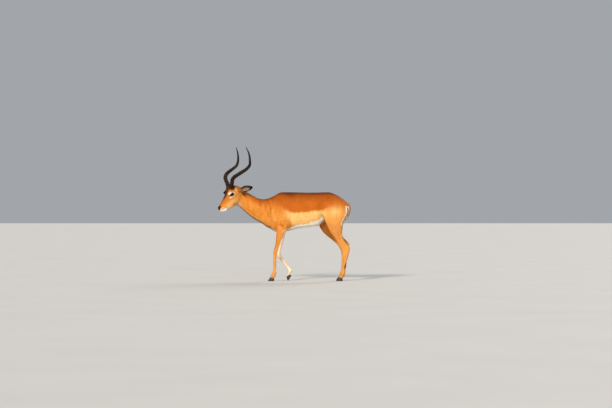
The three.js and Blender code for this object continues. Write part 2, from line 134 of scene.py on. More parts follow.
def centripetal(points, count):
    # a smooth curve through unevenly spaced points, without overshoot at close ones
    p = np.asarray(points, float)
    p = np.concatenate([[2 * p[0] - p[1]], p, [2 * p[-1] - p[-2]]])
    gaps = np.maximum(np.linalg.norm(np.diff(p, axis=0), axis=1) ** 0.5, 1e-6)
    share = np.linspace(0, len(p) - 3, count)
    i = np.minimum(share.astype(int), len(p) - 4)
    f = (share - i)[:, None]
    p0, p1, p2, p3 = p[i], p[i + 1], p[i + 2], p[i + 3]
    g0, g1, g2 = gaps[i][:, None], gaps[i + 1][:, None], gaps[i + 2][:, None]
    start = ((p1 - p0) / g0 - (p2 - p0) / (g0 + g1) + (p2 - p1) / g1) * g1
    end = ((p2 - p1) / g1 - (p3 - p1) / (g1 + g2) + (p3 - p2) / g2) * g1
    return (p1 + start * f + (3 * (p2 - p1) - 2 * start - end) * f ** 2
            + (2 * (p1 - p2) + start + end) * f ** 3)


def spline(points, t):
    # Catmull-Rom through evenly counted points, t from 0 to 1
    p = np.asarray(points, float)
    last = len(p) - 1
    s = np.clip(np.asarray(t, float) * last, 0, last)
    i = np.minimum(s.astype(int), last - 1)
    f = (s - i)[:, None]
    p0 = p[np.maximum(i - 1, 0)]
    p1, p2 = p[i], p[i + 1]
    p3 = p[np.minimum(i + 2, last)]
    return 0.5 * (2 * p1 + (p2 - p0) * f + (2 * p0 - 5 * p1 + 4 * p2 - p3) * f ** 2
                  + (3 * p1 - p0 - 3 * p2 + p3) * f ** 3)


def meshObject(name, verts, faces, smooth=True):
    mesh = bpy.data.meshes.new(name)
    mesh.from_pydata([tuple(v) for v in np.asarray(verts, float)], [], [tuple(f) for f in faces])
    mesh.update()
    if smooth:
        mesh.shade_smooth()
    thing = bpy.data.objects.new(name, mesh)
    scene.collection.objects.link(thing)
    return thing


def readVerts(mesh):
    flat = np.empty(len(mesh.vertices) * 3, np.float32)
    mesh.vertices.foreach_get("co", flat)
    return flat.reshape(-1, 3).astype(float)


def writeVerts(mesh, verts):
    mesh.vertices.foreach_set("co", np.asarray(verts, np.float32).ravel())
    mesh.update()


def readNormals(mesh):
    flat = np.empty(len(mesh.vertices) * 3, np.float32)
    mesh.vertex_normals.foreach_get("vector", flat)
    return flat.reshape(-1, 3).astype(float)


def readEdges(mesh):
    flat = np.empty(len(mesh.edges) * 2, np.int32)
    mesh.edges.foreach_get("vertices", flat)
    return flat.reshape(-1, 2)


def relax(mesh, rounds, weight=None, keepVolume=True):
    # evens the surface out; weight says how strongly at each vertex
    verts = readVerts(mesh)
    edges = readEdges(mesh)
    a, b = edges[:, 0], edges[:, 1]
    count = np.bincount(a, minlength=len(verts)) + np.bincount(b, minlength=len(verts))
    count = np.maximum(count, 1)[:, None]
    strength = np.ones(len(verts)) if weight is None else weight
    steps = (0.5, -0.515) if keepVolume else (0.5,)
    for _ in range(rounds):
        for step in steps:
            total = np.empty_like(verts)
            for k in range(3):
                total[:, k] = (np.bincount(a, verts[b, k], len(verts))
                               + np.bincount(b, verts[a, k], len(verts)))
            verts += step * strength[:, None] * (total / count - verts)
    writeVerts(mesh, verts)


def refine(mesh, chosen):
    # splits every edge with both ends chosen
    bm = bmesh.new()
    bm.from_mesh(mesh)
    bm.verts.ensure_lookup_table()
    edges = [e for e in bm.edges if chosen[e.verts[0].index] and chosen[e.verts[1].index]]
    bmesh.ops.subdivide_edges(bm, edges=edges, cuts=1, use_grid_fill=True)
    bm.to_mesh(mesh)
    bm.free()
    mesh.update()


def addMask(mesh, name, columns):
    # three shares of 0 to 1 for each vertex, read by the materials
    layer = mesh.attributes.new(name, "FLOAT_COLOR", "POINT")
    data = np.ones((len(mesh.vertices), 4), np.float32)
    for k, column in enumerate(columns):
        data[:, k] = column
    layer.data.foreach_set("color", data.ravel())


def ringFaces(rings, around):
    faces = []
    for r in range(rings - 1):
        for i in range(around):
            j = (i + 1) % around
            faces.append((r * around + i, r * around + j, (r + 1) * around + j, (r + 1) * around + i))
    return faces


class Value:
    # a shader socket that can stand in a sum
    def __init__(self, maker, socket):
        self.maker, self.socket = maker, socket

    def combine(self, operation, other):
        return self.maker.node("ShaderNodeMath", {"operation": operation}, {0: self, 1: other})

    def __add__(self, other): return self.combine("ADD", other)
    def __radd__(self, other): return self.combine("ADD", other)
    def __mul__(self, other): return self.combine("MULTIPLY", other)
    def __rmul__(self, other): return self.combine("MULTIPLY", other)
    def __sub__(self, other): return self.combine("SUBTRACT", other)
    def __rsub__(self, other): return (self * -1.0) + other


class Maker:
    # makes one material; every node but the shader comes from node()
    def __init__(self, name):
        self.material = bpy.data.materials.new(name)
        self.material.use_nodes = True
        self.tree = self.material.node_tree
        self.tree.nodes.clear()
        self.output = self.tree.nodes.new("ShaderNodeOutputMaterial")

    def feed(self, socket, value):
        if isinstance(value, Value):
            self.tree.links.new(value.socket, socket)
        else:
            socket.default_value = value

    def node(self, kind, settings=None, inputs=None, out=0):
        made = self.tree.nodes.new(kind)
        for key, value in (settings or {}).items():
            setattr(made, key, value)
        for key, value in (inputs or {}).items():
            self.feed(made.inputs[key], value)
        return Value(self, made.outputs[out])

    def masks(self, name):
        colour = self.node("ShaderNodeAttribute", {"attribute_name": name}, out="Color")
        parts = self.node("ShaderNodeSeparateColor", None, {0: colour})
        return [Value(self, parts.socket.node.outputs[k]) for k in range(3)]

    def mix(self, share, first, second):
        settings = {"data_type": "RGBA", "clamp_factor": True}
        return self.node("ShaderNodeMix", settings, {0: share, 6: first, 7: second}, out=2)

    def place(self):
        return self.node("ShaderNodeTexCoord", out="Object")

    def noise(self, scale, detail=3.0, stretch=(1, 1, 1), roughness=0.55):
        where = self.node("ShaderNodeMapping", None, {"Vector": self.place(), "Scale": stretch})
        return self.node("ShaderNodeTexNoise", None, {
            "Vector": where, "Scale": scale, "Detail": detail, "Roughness": roughness})

    def finish(self, baseColour, roughness, height=None, bump=0.3, distance=0.001, **fixed):
        shader = self.tree.nodes.new("ShaderNodeBsdfPrincipled")
        self.feed(shader.inputs["Base Color"], baseColour)
        self.feed(shader.inputs["Roughness"], roughness)
        for key, value in fixed.items():
            shader.inputs[key.replace("_", " ")].default_value = value
        if height is not None:
            made = self.node("ShaderNodeBump", None, {
                "Strength": bump, "Distance": distance, "Height": height})
            self.tree.links.new(made.socket, shader.inputs["Normal"])
        self.tree.links.new(shader.outputs[0], self.output.inputs[0])
        return self.material


def srgb(r, g, b):
    return tuple((c / 255 / 12.92) if c <= 10 else ((c / 255 + 0.055) / 1.055) ** 2.4
                 for c in (r, g, b)) + (1.0,)


coatColours = {
    "tan": srgb(217, 136, 54),          # neck, shoulder, haunch and legs
    "saddle": srgb(190, 96, 25),        # the rich back; also painted shade in muscle hollows, the neck and shoulder streaks and inside the hind thighs
    "spine": srgb(104, 42, 8),
    "pale": srgb(240, 188, 114),        # flank band, haunch patch, cheeks; also painted light on muscle bulges, the neck and shoulder streaks and the jaw corners
    "white": srgb(255, 249, 237),
    "black": srgb(16, 12, 10),
    "brown": srgb(66, 32, 18),          # forehead, nose bridge and ear roots; also painted shade under the neck, in the belly fold and inside the hind thighs, and the painted shadow below each ear
    "bare": srgb(14, 11, 11),           # nose pad and lids
}
hairGloss = {"Specular_IOR_Level": 0.16, "Specular_Tint": srgb(255, 214, 168)}


def coatColour(m, warmth):
    # the markings' colour from the masks, shared by skin and hair
    saddle, spine, pale = m.masks("markBody")
    white, black, brown = m.masks("markFace")
    colour = coatColours["tan"]
    for name, share in (("saddle", saddle), ("spine", spine), ("pale", pale),
                        ("brown", brown), ("white", white), ("black", black)):
        colour = m.mix(share, colour, coatColours[name])
    return m.node("ShaderNodeMix", {"data_type": "RGBA", "blend_type": "MULTIPLY"},
                  {0: 1.0, 6: colour, 7: warmth}, out=2)


def skinMaterial():
    m = Maker("short_coat")
    broad = m.noise(13.0, 3.0)
    fine = m.noise(60.0, 4.0, (0.35, 1.0, 1.0))
    hair = m.noise(420.0, 3.0, (0.22, 1.0, 1.0))
    value = 0.66 + 0.50 * broad + 0.10 * fine
    warmth = m.node("ShaderNodeCombineColor", None, {0: value, 1: value * 0.985, 2: value * 0.96})
    bare = m.masks("markBare")[0]
    colour = m.mix(bare, coatColour(m, warmth), coatColours["bare"])
    pores = m.node("ShaderNodeTexVoronoi", None, {"Vector": m.place(), "Scale": 520.0})
    height = hair * 0.6 * (1 - bare) + fine * 0.4 + pores * bare * 0.22
    rough = 0.62 - 0.22 * bare
    return m.finish(colour, rough, height, bump=0.35, distance=0.0012, **hairGloss)


def tuftMaterial():
    m = Maker("coat_hair")
    shade, tip, _ = m.masks("strand")
    broad = m.noise(13.0, 3.0)
    fine = m.noise(900.0, 2.0, (0.2, 1.0, 1.0))
    value = 0.47 + 0.50 * broad + 0.30 * shade + 0.16 * tip + 0.08 * fine
    warmth = m.node("ShaderNodeCombineColor", None, {0: value, 1: value * 0.99, 2: value * 0.97})
    return m.finish(coatColour(m, warmth), 0.55 + 0.1 * fine, fine, bump=0.2, distance=0.0004, **hairGloss)


# the outline of each leg, in the body's own metres: height, front x, rear x, middle y
legLines = {
    "front_left": [(0.0, -0.164, -0.100, -0.067), (0.06, -0.129, -0.089, -0.067),
                   (0.09, -0.117, -0.074, -0.067), (0.124, -0.110, -0.077, -0.067),
                   (0.255, -0.108, -0.071, -0.068), (0.303, -0.105, -0.063, -0.068),
                   (0.36, -0.090, -0.045, -0.069), (0.429, -0.082, -0.020, -0.071),
                   (0.506, -0.081, 0.022, -0.074), (0.62, -0.100, 0.040, -0.076)],
    "front_right": [(0.0, 0.030, 0.062, 0.066), (0.06, 0.030, 0.062, 0.066),
                    (0.098, 0.042, 0.083, 0.066), (0.13, 0.022, 0.050, 0.066),
                    (0.195, -0.026, 0.012, 0.066), (0.25, -0.071, -0.027, 0.067),
                    (0.30, -0.084, -0.037, 0.068), (0.362, -0.073, -0.018, 0.069),
                    (0.436, -0.077, 0.005, 0.071), (0.506, -0.078, 0.022, 0.074),
                    (0.62, -0.094, 0.036, 0.076)],
    "hind_left": [(0.0, 0.531, 0.595, -0.065), (0.056, 0.566, 0.607, -0.065),
                  (0.087, 0.578, 0.621, -0.065), (0.122, 0.588, 0.623, -0.065),
                  (0.20, 0.600, 0.638, -0.065), (0.272, 0.593, 0.659, -0.066),
                  (0.332, 0.574, 0.668, -0.066), (0.38, 0.549, 0.636, -0.066),
                  (0.436, 0.510, 0.600, -0.066), (0.503, 0.459, 0.592, -0.066),
                  (0.592, 0.419, 0.605, -0.066), (0.649, 0.397, 0.634, -0.065),
                  (0.705, 0.371, 0.661, -0.062), (0.752, 0.376, 0.656, -0.056)],
    "hind_right": [(0.0, 0.528, 0.592, 0.065), (0.058, 0.563, 0.604, 0.065),
                   (0.093, 0.573, 0.616, 0.065), (0.13, 0.580, 0.614, 0.065),
                   (0.214, 0.585, 0.622, 0.065), (0.30, 0.580, 0.647, 0.066),
                   (0.357, 0.550, 0.667, 0.066), (0.40, 0.515, 0.640, 0.066),
                   (0.44, 0.460, 0.600, 0.066), (0.50, 0.390, 0.586, 0.066),
                   (0.592, 0.339, 0.602, 0.066), (0.649, 0.341, 0.633, 0.065),
                   (0.705, 0.344, 0.660, 0.062), (0.752, 0.362, 0.656, 0.056)],
}


def legPlace(name, body):
    # how far forward (-1) to back (1) a point lies on a leg, how far to the side of its middle,
    # how much the leg leans there, and how far in front of its rear edge
    lines = np.array(legLines[name])
    z = body[:, 2]
    front = along(lines[:, 0], lines[:, 1], z)
    rear = along(lines[:, 0], lines[:, 2], z)
    middle = along(lines[:, 0], lines[:, 3], z)
    centre = (front + rear) / 2
    step = 0.02
    lean = (along(lines[:, 0], (lines[:, 1] + lines[:, 2]) / 2, z + step)
            - along(lines[:, 0], (lines[:, 1] + lines[:, 2]) / 2, z - step)) / (2 * step)
    across = (body[:, 0] - centre) / np.maximum((rear - front) / 2, 0.004)
    return across, body[:, 1] - middle, lean, rear - body[:, 0]


def thighFront(y, z):
    # the front edge of the thigh on each side
    left, right = (np.array(legLines[name]) for name in ("hind_left", "hind_right"))
    return np.where(y < 0, along(left[:, 0], left[:, 1], z), along(right[:, 0], right[:, 1], z))


def eachLeg(body, frontLeg, hindLeg):
    # every leg's name, side, whether it is a fore leg, and its share at each place
    for name in legLines:
        sign = -1 if name.endswith("left") else 1
        fore = name.startswith("front")
        yield name, sign, fore, (frontLeg if fore else hindLeg) * (np.sign(body[:, 1]) == sign)


def regions(points):
    # shares of head, neck and the four legs, from places alone
    body = points - bodyShift
    x, _, z = body.T
    u, left, v = toHead(points)
    forward = u * math.cos(pitch) + v * math.sin(pitch)
    head = ramp(0.005, 0.045, forward) * (z > 0.6)
    neck = ramp(-0.06, -0.16, x) * (z > 0.45) * (1 - head)
    groin = 0.600 + (x - 0.402) * 0.674
    frontLeg = ramp(0.545, 0.50, z) * (x < 0.25)
    hindLeg = ramp(0.02, -0.02, z - groin) * (x > 0.28)
    return body, (u, left, v), head, neck, frontLeg, hindLeg


marks = {
    # lower edge of the saddle and upper edge of the white belly: x, z
    "saddleEdge": [(-0.26, 0.880), (-0.16, 0.812), (-0.08, 0.752), (0.00, 0.714), (0.066, 0.700),
                   (0.141, 0.693), (0.222, 0.702), (0.318, 0.714), (0.412, 0.722), (0.470, 0.735),
                   (0.560, 0.742), (0.66, 0.740)],
    "bellyEdge": [(-0.03, 0.508), (0.031, 0.530), (0.114, 0.566), (0.222, 0.584), (0.303, 0.604),
                  (0.358, 0.628), (0.400, 0.670), (0.44, 0.66)],
    "stripe": {"middle": 0.668, "halfHeight": 0.100, "halfWidth": 0.0098, "at": 0.0425,
               "creamWidth": 0.0125},
    # white round the eye: middle and stretch, each forward and up, then size and strength
    "eyeWhites": {
        "above": ((0.014, 0.021), (1.5, 1), 0.0092, 1.0),
        "below": ((-0.004, -0.021), (2.2, 1), 0.0065, 0.2625),
        "behind": ((-0.026, 0.004), (1, 2), 0.0075, 0.44),
        "before": ((0.027, -0.014), (1.4, 1), 0.0075, 0.8),
    },
}


def bodyRelief(body, normals):
    # bulges and hollows of the body's sides, in metres
    x, _, z = body.T
    lift = np.zeros(len(x))
    for (cx, cz), (rx, rz), lean, height in bodyForms.values():
        t = math.radians(lean)
        dx, dz = x - cx, z - cz
        p = dx * math.cos(t) - dz * math.sin(t)
        q = dx * math.sin(t) + dz * math.cos(t)
        lift += height * 0.001 * np.exp(-(p / rx) ** 2 - (q / rz) ** 2)
    return lift * np.abs(normals[:, 1]) ** 0.7


def blankMarks(count):
    return {key: np.zeros(count) for key in ("saddle", "spine", "pale", "white", "black", "brown", "bare")}


def lay(m, key, share):
    # puts one more mark over what is there
    m[key] = np.maximum(m[key], share)


def markTrunk(m, where, normals):
    body, _, head, _, frontLeg, hindLeg = where
    x, y, z = body.T
    outward, up = np.abs(normals[:, 1]), normals[:, 2]
    trunk = (1 - head) * (1 - frontLeg)
    edge, belly = np.array(marks["saddleEdge"]), np.array(marks["bellyEdge"])
    saddleLine = along(edge[:, 0], edge[:, 1], x)
    bellyLine = along(belly[:, 0], belly[:, 1], x)
    wave = 0.0030 * np.sin(x * 47 + y * 20) + 0.0022 * np.sin(x * 131 + 1.3) + 0.0015 * np.sin(x * 311)

    # the back: sharp below the ribs, running softly into shoulder and haunch
    soft = 0.018 + 0.070 * ramp(0.09, -0.08, x) + 0.060 * ramp(0.39, 0.50, x)
    back = ramp(-1, 1, (z - saddleLine + wave) / soft)
    behindHead = ramp(0.00, -0.10, x) * (z > 0.45) * (1 - head)
    nape = ramp(-0.10, 0.60, up) * behindHead * 0.85
    lay(m, "saddle", np.maximum(back * trunk * (1 - 0.18 * ramp(0.42, 0.52, x)), nape))
    spine = 0.34 * ramp(0.775, 0.865, z) * ramp(-0.30, -0.12, x)
    spine = spine + 0.50 * ramp(0.45, 0.98, up) * ramp(0.845, 0.895, z) * ramp(-0.25, -0.1, x)
    spine = spine + 0.40 * hump(np.hypot((x - 0.05) / 1.8, z - 0.885), 0.030)
    lay(m, "spine", np.clip(spine, 0, 0.9) * trunk)
    lay(m, "spine", 0.50 * ramp(0.25, 0.95, up) * behindHead)
    lay(m, "saddle", m["spine"])

    # pale flank and haunch; painted shade in the hollows between the muscles and painted light on their
    # bulges
    flank = (1 - back) * ramp(-0.035, 0.045, x - 0.0025 - (0.692 - z) * 0.6) * trunk
    flank *= 1 - 0.75 * ramp(0.37, 0.45, x)
    flank *= 1 - ramp(0.700, 0.745, z) * ramp(0.11, 0.05, x)
    haunch = 0.75 * hump(np.hypot((x - 0.505) / 1.25, z - 0.705), 0.046)
    relief = bodyRelief(body, normals) * (1 - head)
    # painted shade in the hollows, painted light on the bulges
    lay(m, "saddle", 0.85 * ramp(-0.0008, -0.0042, relief))
    bulgeLight = 0.30 * ramp(0.0020, 0.0070, relief) * ramp(0.80, 0.72, z)
    lay(m, "pale", np.clip(np.maximum(flank, bulgeLight) + haunch, 0, 1))

    # upright streaks over neck and shoulder: painted shade and painted light of skin folds
    streak = np.sin(x * 140 + 2.6 * np.sin(x * 37 + z * 11) + z * 13) * np.sin(z * 15 + x * 21 + y * 9 + 1.1)
    streak = streak * (0.55 + 0.45 * np.sin(x * 57 + z * 19 + 0.7))
    streak = streak * ramp(0.07, 0.0, x) * (z > 0.5) * (1 - head) * (1 - frontLeg) * outward
    lay(m, "saddle", 0.46 * ramp(0.05, 0.75, streak))
    lay(m, "pale", 0.16 * ramp(-0.05, -0.75, streak) * ramp(0.80, 0.74, z))

    # white belly and brisket, and painted shadow in the fold where the belly meets the thigh
    thigh = thighFront(y, z)
    white = ramp(0.010, -0.006, z - bellyLine + wave) * (x > -0.04) * trunk * (1 - hindLeg)
    white *= ramp(0.004, -0.004, x - thigh)
    # painted shadow in the fold between belly and thigh
    foldShadow = hump(x - thigh + 0.002, 0.0075) * ramp(0.600, 0.625, z) * ramp(0.686, 0.664, z)
    lay(m, "white", white * (1 - foldShadow))
    lay(m, "white", ramp(-0.75, -0.97, up) * (x > -0.15) * (x <= 0.0) * trunk * 0.7)
    lay(m, "brown", 0.9 * foldShadow * outward)


def markLegs(m, where):
    body, _, _, _, frontLeg, hindLeg = where
    x, y, z = body.T
    stripe = marks["stripe"]
    for name, sign, fore, mine in eachLeg(body, frontLeg, hindLeg):
        across, off, _, fromRear = legPlace(name, body)
        inner = ramp(0.000, 0.014, -sign * off)
        lowerPale = (0.35 if fore else 0.18) * ramp(0.42, 0.15, z)
        behind = 0.45 * ramp(0.0, 0.9, across) * (1 if fore else ramp(0.50, 0.60, z))
        lay(m, "pale", mine * np.maximum(lowerPale, behind))
        if fore:
            lay(m, "white", mine * np.maximum(0.45 * inner, 0.70 * ramp(0.60, 0.95, across)))
            lay(m, "pale", mine * inner * 0.9)
            lay(m, "saddle", mine * 0.40 * ramp(-0.2, -0.8, across) * hump(z - 0.37, 0.10))
            continue
        # the inside of the thigh carries painted shade, the shank is paler again, and the heel has a black
        # gland
        high = ramp(0.34, 0.44, z)
        # painted shade inside the thigh, over its real pale colour
        m["pale"] = m["pale"] * (1 - mine * inner * high) + mine * inner * (1 - high) * 0.6
        lay(m, "saddle", mine * high * np.maximum(0.60 * inner, 0.40 * ramp(0.66, 0.52, z)))
        lay(m, "brown", mine * high * inner * 0.42)
        lay(m, "black", mine * hump(z - 0.150, 0.030) * ramp(-0.1, 0.55, across))
        # a black stripe down each buttock, white behind it and cream before it
        at = stripe["at"]
        q = fromRear + (sign * y - 0.045) * 0.8
        tall = np.sqrt(np.clip(1 - ((z - stripe["middle"]) / stripe["halfHeight"]) ** 2, 0, 1))
        buttock = (x > 0.5) * (tall > 0) * (np.sign(y) == sign)
        rearWhite = ramp(at + 0.001, at - 0.003, q) * ramp(0, 0.45, tall)
        half = stripe["creamWidth"] * tall
        cream = ramp(half + 0.004, half - 0.004, np.abs(q - at - 0.016)) * ramp(0.1, 0.5, tall)
        lay(m, "white", buttock * np.maximum(rearWhite, 0.55 * cream))
        lay(m, "pale", buttock * ramp(at + 0.042, at + 0.022, q) * ramp(0, 0.4, tall))
        half = stripe["halfWidth"] * tall
        line = ramp(half + 0.0015, half - 0.0015, np.abs(q - at))
        lay(m, "black", buttock * line * ramp(0.2, 0.4, tall) * ramp(0.046, 0.052, sign * y))


def markEyes(m, where):
    _, (u, left, v), head, *_ = where
    eyeU, _, eyeV = headPose["eye"]
    tilt = math.radians(headPose["eyeTilt"])
    du, dv = u - eyeU, v - eyeV
    a = du * math.cos(tilt) + dv * math.sin(tilt)      # toward the eye's front corner
    b = -du * math.sin(tilt) + dv * math.cos(tilt)     # toward the brow
    face = head * (np.abs(left) > 0.024)
    pale = 0.12 * face * hump(np.hypot(a / 1.25, b) - 0.0205, 0.0055)
    for (forward, up), (long, tall), size, strength in marks["eyeWhites"].values():
        pale += strength * face * hump(np.hypot((a - forward) / long, (b - up) / tall), size)
    lay(m, "white", np.clip(pale, 0, 1))
    lids = face * ramp(0.0180, 0.0150, np.hypot(a / 1.35, b))
    tear = face * hump(np.hypot((a - 0.027) / 1.9, b + 0.002), 0.0074)
    lay(m, "black", np.clip(lids + tear * 0.85, 0, 1))


def markHead(m, where, points, normals):
    body, (u, left, v), face, neck, *_ = where
    x, _, z = body.T
    side, up, crownUp = np.abs(left), normals[:, 2], normals @ crownAxis
    # neck: a pale throat, and painted shade down its underside
    lay(m, "pale", neck * ramp(-0.25, -0.85, up) * 0.55)
    throat = hump(np.hypot(u - 0.085, (v + 0.050) / 1.2), 0.034) * ramp(-0.35, -0.75, up) * (z > 0.6)
    lay(m, "white", throat * 0.7)
    # painted shade down the underside of the neck
    lay(m, "brown", 0.66 * neck * ramp(-0.40, -0.85, up) * ramp(-0.05, -0.10, v))
    m["saddle"] = np.where(face > 0.5, 0, m["saddle"])
    markEyes(m, where)
    # dark forehead, horn seats, crown and bridge of the nose
    width = 0.026 + 0.006 * ramp(0.13, 0.09, u) - 0.006 * ramp(0.15, 0.20, u)
    forehead = face * ramp(0.35, 0.8, crownUp) * ramp(width + 0.006, width - 0.006, side)
    forehead *= ramp(0.055, 0.075, u)
    lay(m, "brown", forehead * (1 - ramp(0.165, 0.215, u)) * 0.92)
    for k in (1, -1):
        seat = np.linalg.norm(points - hornPath(k, np.array([0.0]))[0], axis=1)
        lay(m, "brown", 0.90 * ramp(0.043, 0.031, seat) * (z > 0.85))
        lay(m, "black", 0.55 * ramp(0.036, 0.028, seat) * (z > 0.85))
    crown = face * ramp(0.085, 0.060, u) * ramp(0.05, 0.09, v)
    poll = face * ramp(0.075, 0.035, u) * ramp(0.15, 0.70, up)
    lay(m, "saddle", np.maximum(crown, poll) * 0.85)
    m["spine"] = np.where(face > 0.5, crown * 0.25, m["spine"])
    bridge = face * ramp(0.05, 0.65, crownUp) * ramp(0.10, 0.16, u) * ramp(0.285, 0.26, u)
    lay(m, "saddle", bridge * 0.80)
    lay(m, "spine", 0.35 * bridge * ramp(0.018, 0.010, side))
    # lips, chin, cheek and the underside of the jaw
    overLip = v - mouthHeight(u)
    chin = face * ramp(0.001, -0.003, overLip) * ramp(0.235, 0.255, u)
    jaw = face * ramp(0.15, 0.19, u) * ramp(0.016, -0.004, v - 0.010 + (0.25 - u) * 0.20)
    upperLip = face * ramp(0.245, 0.265, u) * ramp(0.018, 0.010, overLip) * (side > 0.008)
    underJaw = face * ramp(-0.55, -0.88, crownUp)
    lay(m, "white", np.clip(chin * 0.55 + jaw * 0.12 + upperLip * 0.45 + underJaw * 0.45, 0, 1))
    cheek = face * 0.9 * hump(np.hypot((u - 0.185) / 2.4, v - 0.020), 0.024)
    # painted light at the jaw corner, lifting a place that faces down
    jawCornerLight = 0.6 * hump(np.hypot(u - 0.114, v + 0.008), 0.030)
    temple = face * 0.75 * hump(np.hypot(u - 0.043, v - 0.072), 0.020)
    pale = face * np.clip(cheek + jaw * 0.6 + temple + jawCornerLight, 0, 1)
    m["pale"] = np.maximum(m["pale"] * (1 - face), pale)
    lipLine = face * hump(overLip, 0.0030 - 0.0016 * ramp(0.275, 0.290, u)) * ramp(0.244, 0.252, u)
    # the bare pad is wide round the nostrils and narrows to the lip
    padWidth = 0.0045 + 0.0170 * ramp(0.0430, 0.0560, v)
    nose = ramp(0.272, 0.277, u + (v - 0.055) * 0.25) * ramp(0.0400, 0.0425, v)
    nosePad = face * nose * ramp(padWidth + 0.0015, padWidth - 0.0015, side)
    lay(m, "black", np.maximum(nosePad, lipLine))
    lay(m, "bare", nosePad)
    # darker brown round the root of each ear, and a painted shadow of the ear below it
    for k in (1, -1):
        u0, l0, v0 = earPlan["root"]
        gap = np.linalg.norm(points - fromHead(u0 + 0.012, l0 * k, v0 + 0.004), axis=1)
        lay(m, "brown", 0.55 * ramp(0.036, 0.020, gap))
    # painted shadow of the ear on the neck, below its root
    earShadow = hump(np.hypot((x + 0.413) + (z - 0.885) * 0.7, (z - 0.885) / 1.5), 0.014)
    earShadow *= (z > 0.6) * (side > 0.03)
    lay(m, "brown", earShadow)
    lay(m, "black", earShadow * 0.60)
    m["white"] = np.where(earShadow > 0.4, m["white"] * 0.4, m["white"])


def markings(points, normals):
    # the share of every colour at each place of the skin
    where = regions(points)
    m = blankMarks(len(points))
    markTrunk(m, where, normals)
    markLegs(m, where)
    markHead(m, where, points, normals)
    return m


def paintMarks(mesh, m):
    addMask(mesh, "markBody", (m["saddle"], m["spine"], m["pale"]))
    addMask(mesh, "markFace", (m["white"], m["black"], m["brown"]))
    addMask(mesh, "markBare", (m["bare"], m["bare"], m["bare"]))


skinPlan = {
    "nodes": ["head", "neck", "trunk", "leg_front_left", "leg_front_right",
              "leg_hind_left", "leg_hind_right", "eye_left", "eye_right"],
    "overlap": 0.0006,        # each solid is swelled so that the thin cuts close
    "voxel": 0.0066,
    "hornPlug": 0.0245, "hornPlugsAt": (-0.035, -0.020),     # shares of the horn's length
    "earPlug": 0.0165, "earPlugsAt": (0.0, 0.008),
    "eyeRadius": 0.019, "lid": 0.0016,
    "eyeHalfLength": 0.0165, "eyeHalfHeight": 0.0098,
}
hornPlan = {
    # height above the floor, how far back from the base, half the spread
    "path": [(0.946, 0.004, 0.029), (0.985, 0.005, 0.047), (1.040, 0.001, 0.083),
             (1.090, 0.048, 0.141), (1.132, 0.111, 0.158), (1.173, 0.158, 0.142),
             (1.219, 0.169, 0.128), (1.289, 0.163, 0.119), (1.358, 0.136, 0.103)],
    "forward": 0.136, "baseRadius": 0.0203, "tipRadius": 0.0022,
    "ridges": 15, "ridgedPart": 0.67, "ridgeHeight": 0.0046, "slant": 0.30,
    "worn": {"left": 0.45, "right": 0.95},     # how brown the rings are: a painted highlight on the ridges, stronger on the right horn
    "rings": 420, "around": 40, "clearOfHair": 0.0195,
}
earPlan = {
    "length": 0.151, "halfWidth": 0.0295, "rootRadius": 0.0135, "root": (0.010, 0.043, 0.043),
    "cup": 0.95, "tube": 2.75, "thickness": 0.0022, "buried": 0.10,
    "left": {"axis": (-78, 127, 27), "opening": (0.78, 0.56, -0.14)},
    "right": {"axis": (70, -133, -30), "opening": (0.85, 0.4, -0.3)},
    "rings": 72, "across": 44,
}
tailPlan = {
    # outer edge and inner edge, each x, z, and half width; then the flesh it grows from
    "stations": [((0.622, 0.806), (0.604, 0.784), 0.007), ((0.655, 0.789), (0.636, 0.768), 0.0095),
                 ((0.6725, 0.742), (0.656, 0.739), 0.0095), ((0.666, 0.697), (0.652, 0.698), 0.0085),
                 ((0.646, 0.650), (0.636, 0.654), 0.006), ((0.634, 0.622), (0.628, 0.626), 0.002)],
    "rings": 60, "around": 20,
    "dock": [(0.630, 0.784, 0.015), (0.644, 0.770, 0.012)],
}


def hornPath(side, share):
    p = hornPlan
    level = []
    for height, back, spread in p["path"]:
        f, l = p["forward"] - back, spread * side
        level.append(headPivot * [1, 1, 0] + heading * f + leftAxis * l
                     + np.array([0, 0, height + bodyShift[2]]))
    fine = centripetal(level, 400)
    run = np.concatenate([[0], np.cumsum(np.linalg.norm(np.diff(fine, axis=0), axis=1))])
    place = np.stack([np.interp(share * run[-1], run, fine[:, k]) for k in range(3)], axis=1)
    # below the start it goes straight on down into the head
    return place + np.minimum(share, 0)[:, None] * run[-1] * unit(fine[4] - fine[0])


def ballMesh(centre, radius, rings=12, around=20):
    verts = []
    for r in range(rings + 1):
        polar = math.pi * r / rings
        for i in range(around):
            turn = 2 * math.pi * i / around
            verts.append(centre + radius * np.array([math.sin(polar) * math.cos(turn),
                                                     math.sin(polar) * math.sin(turn), math.cos(polar)]))
    return np.array(verts), [tuple(reversed(f)) for f in ringFaces(rings + 1, around)]


def wrapped(name, verts, faces, voxel):
    # one closed surface round all the shapes given
    source = meshObject(name, verts, faces, smooth=False)
    voxels = source.modifiers.new("whole", "REMESH")
    voxels.mode, voxels.voxel_size, voxels.adaptivity = "VOXEL", voxel, 0
    bpy.context.view_layer.update()
    whole = bpy.data.meshes.new_from_object(source.evaluated_get(bpy.context.evaluated_depsgraph_get()))
    bpy.data.objects.remove(source)
    return whole


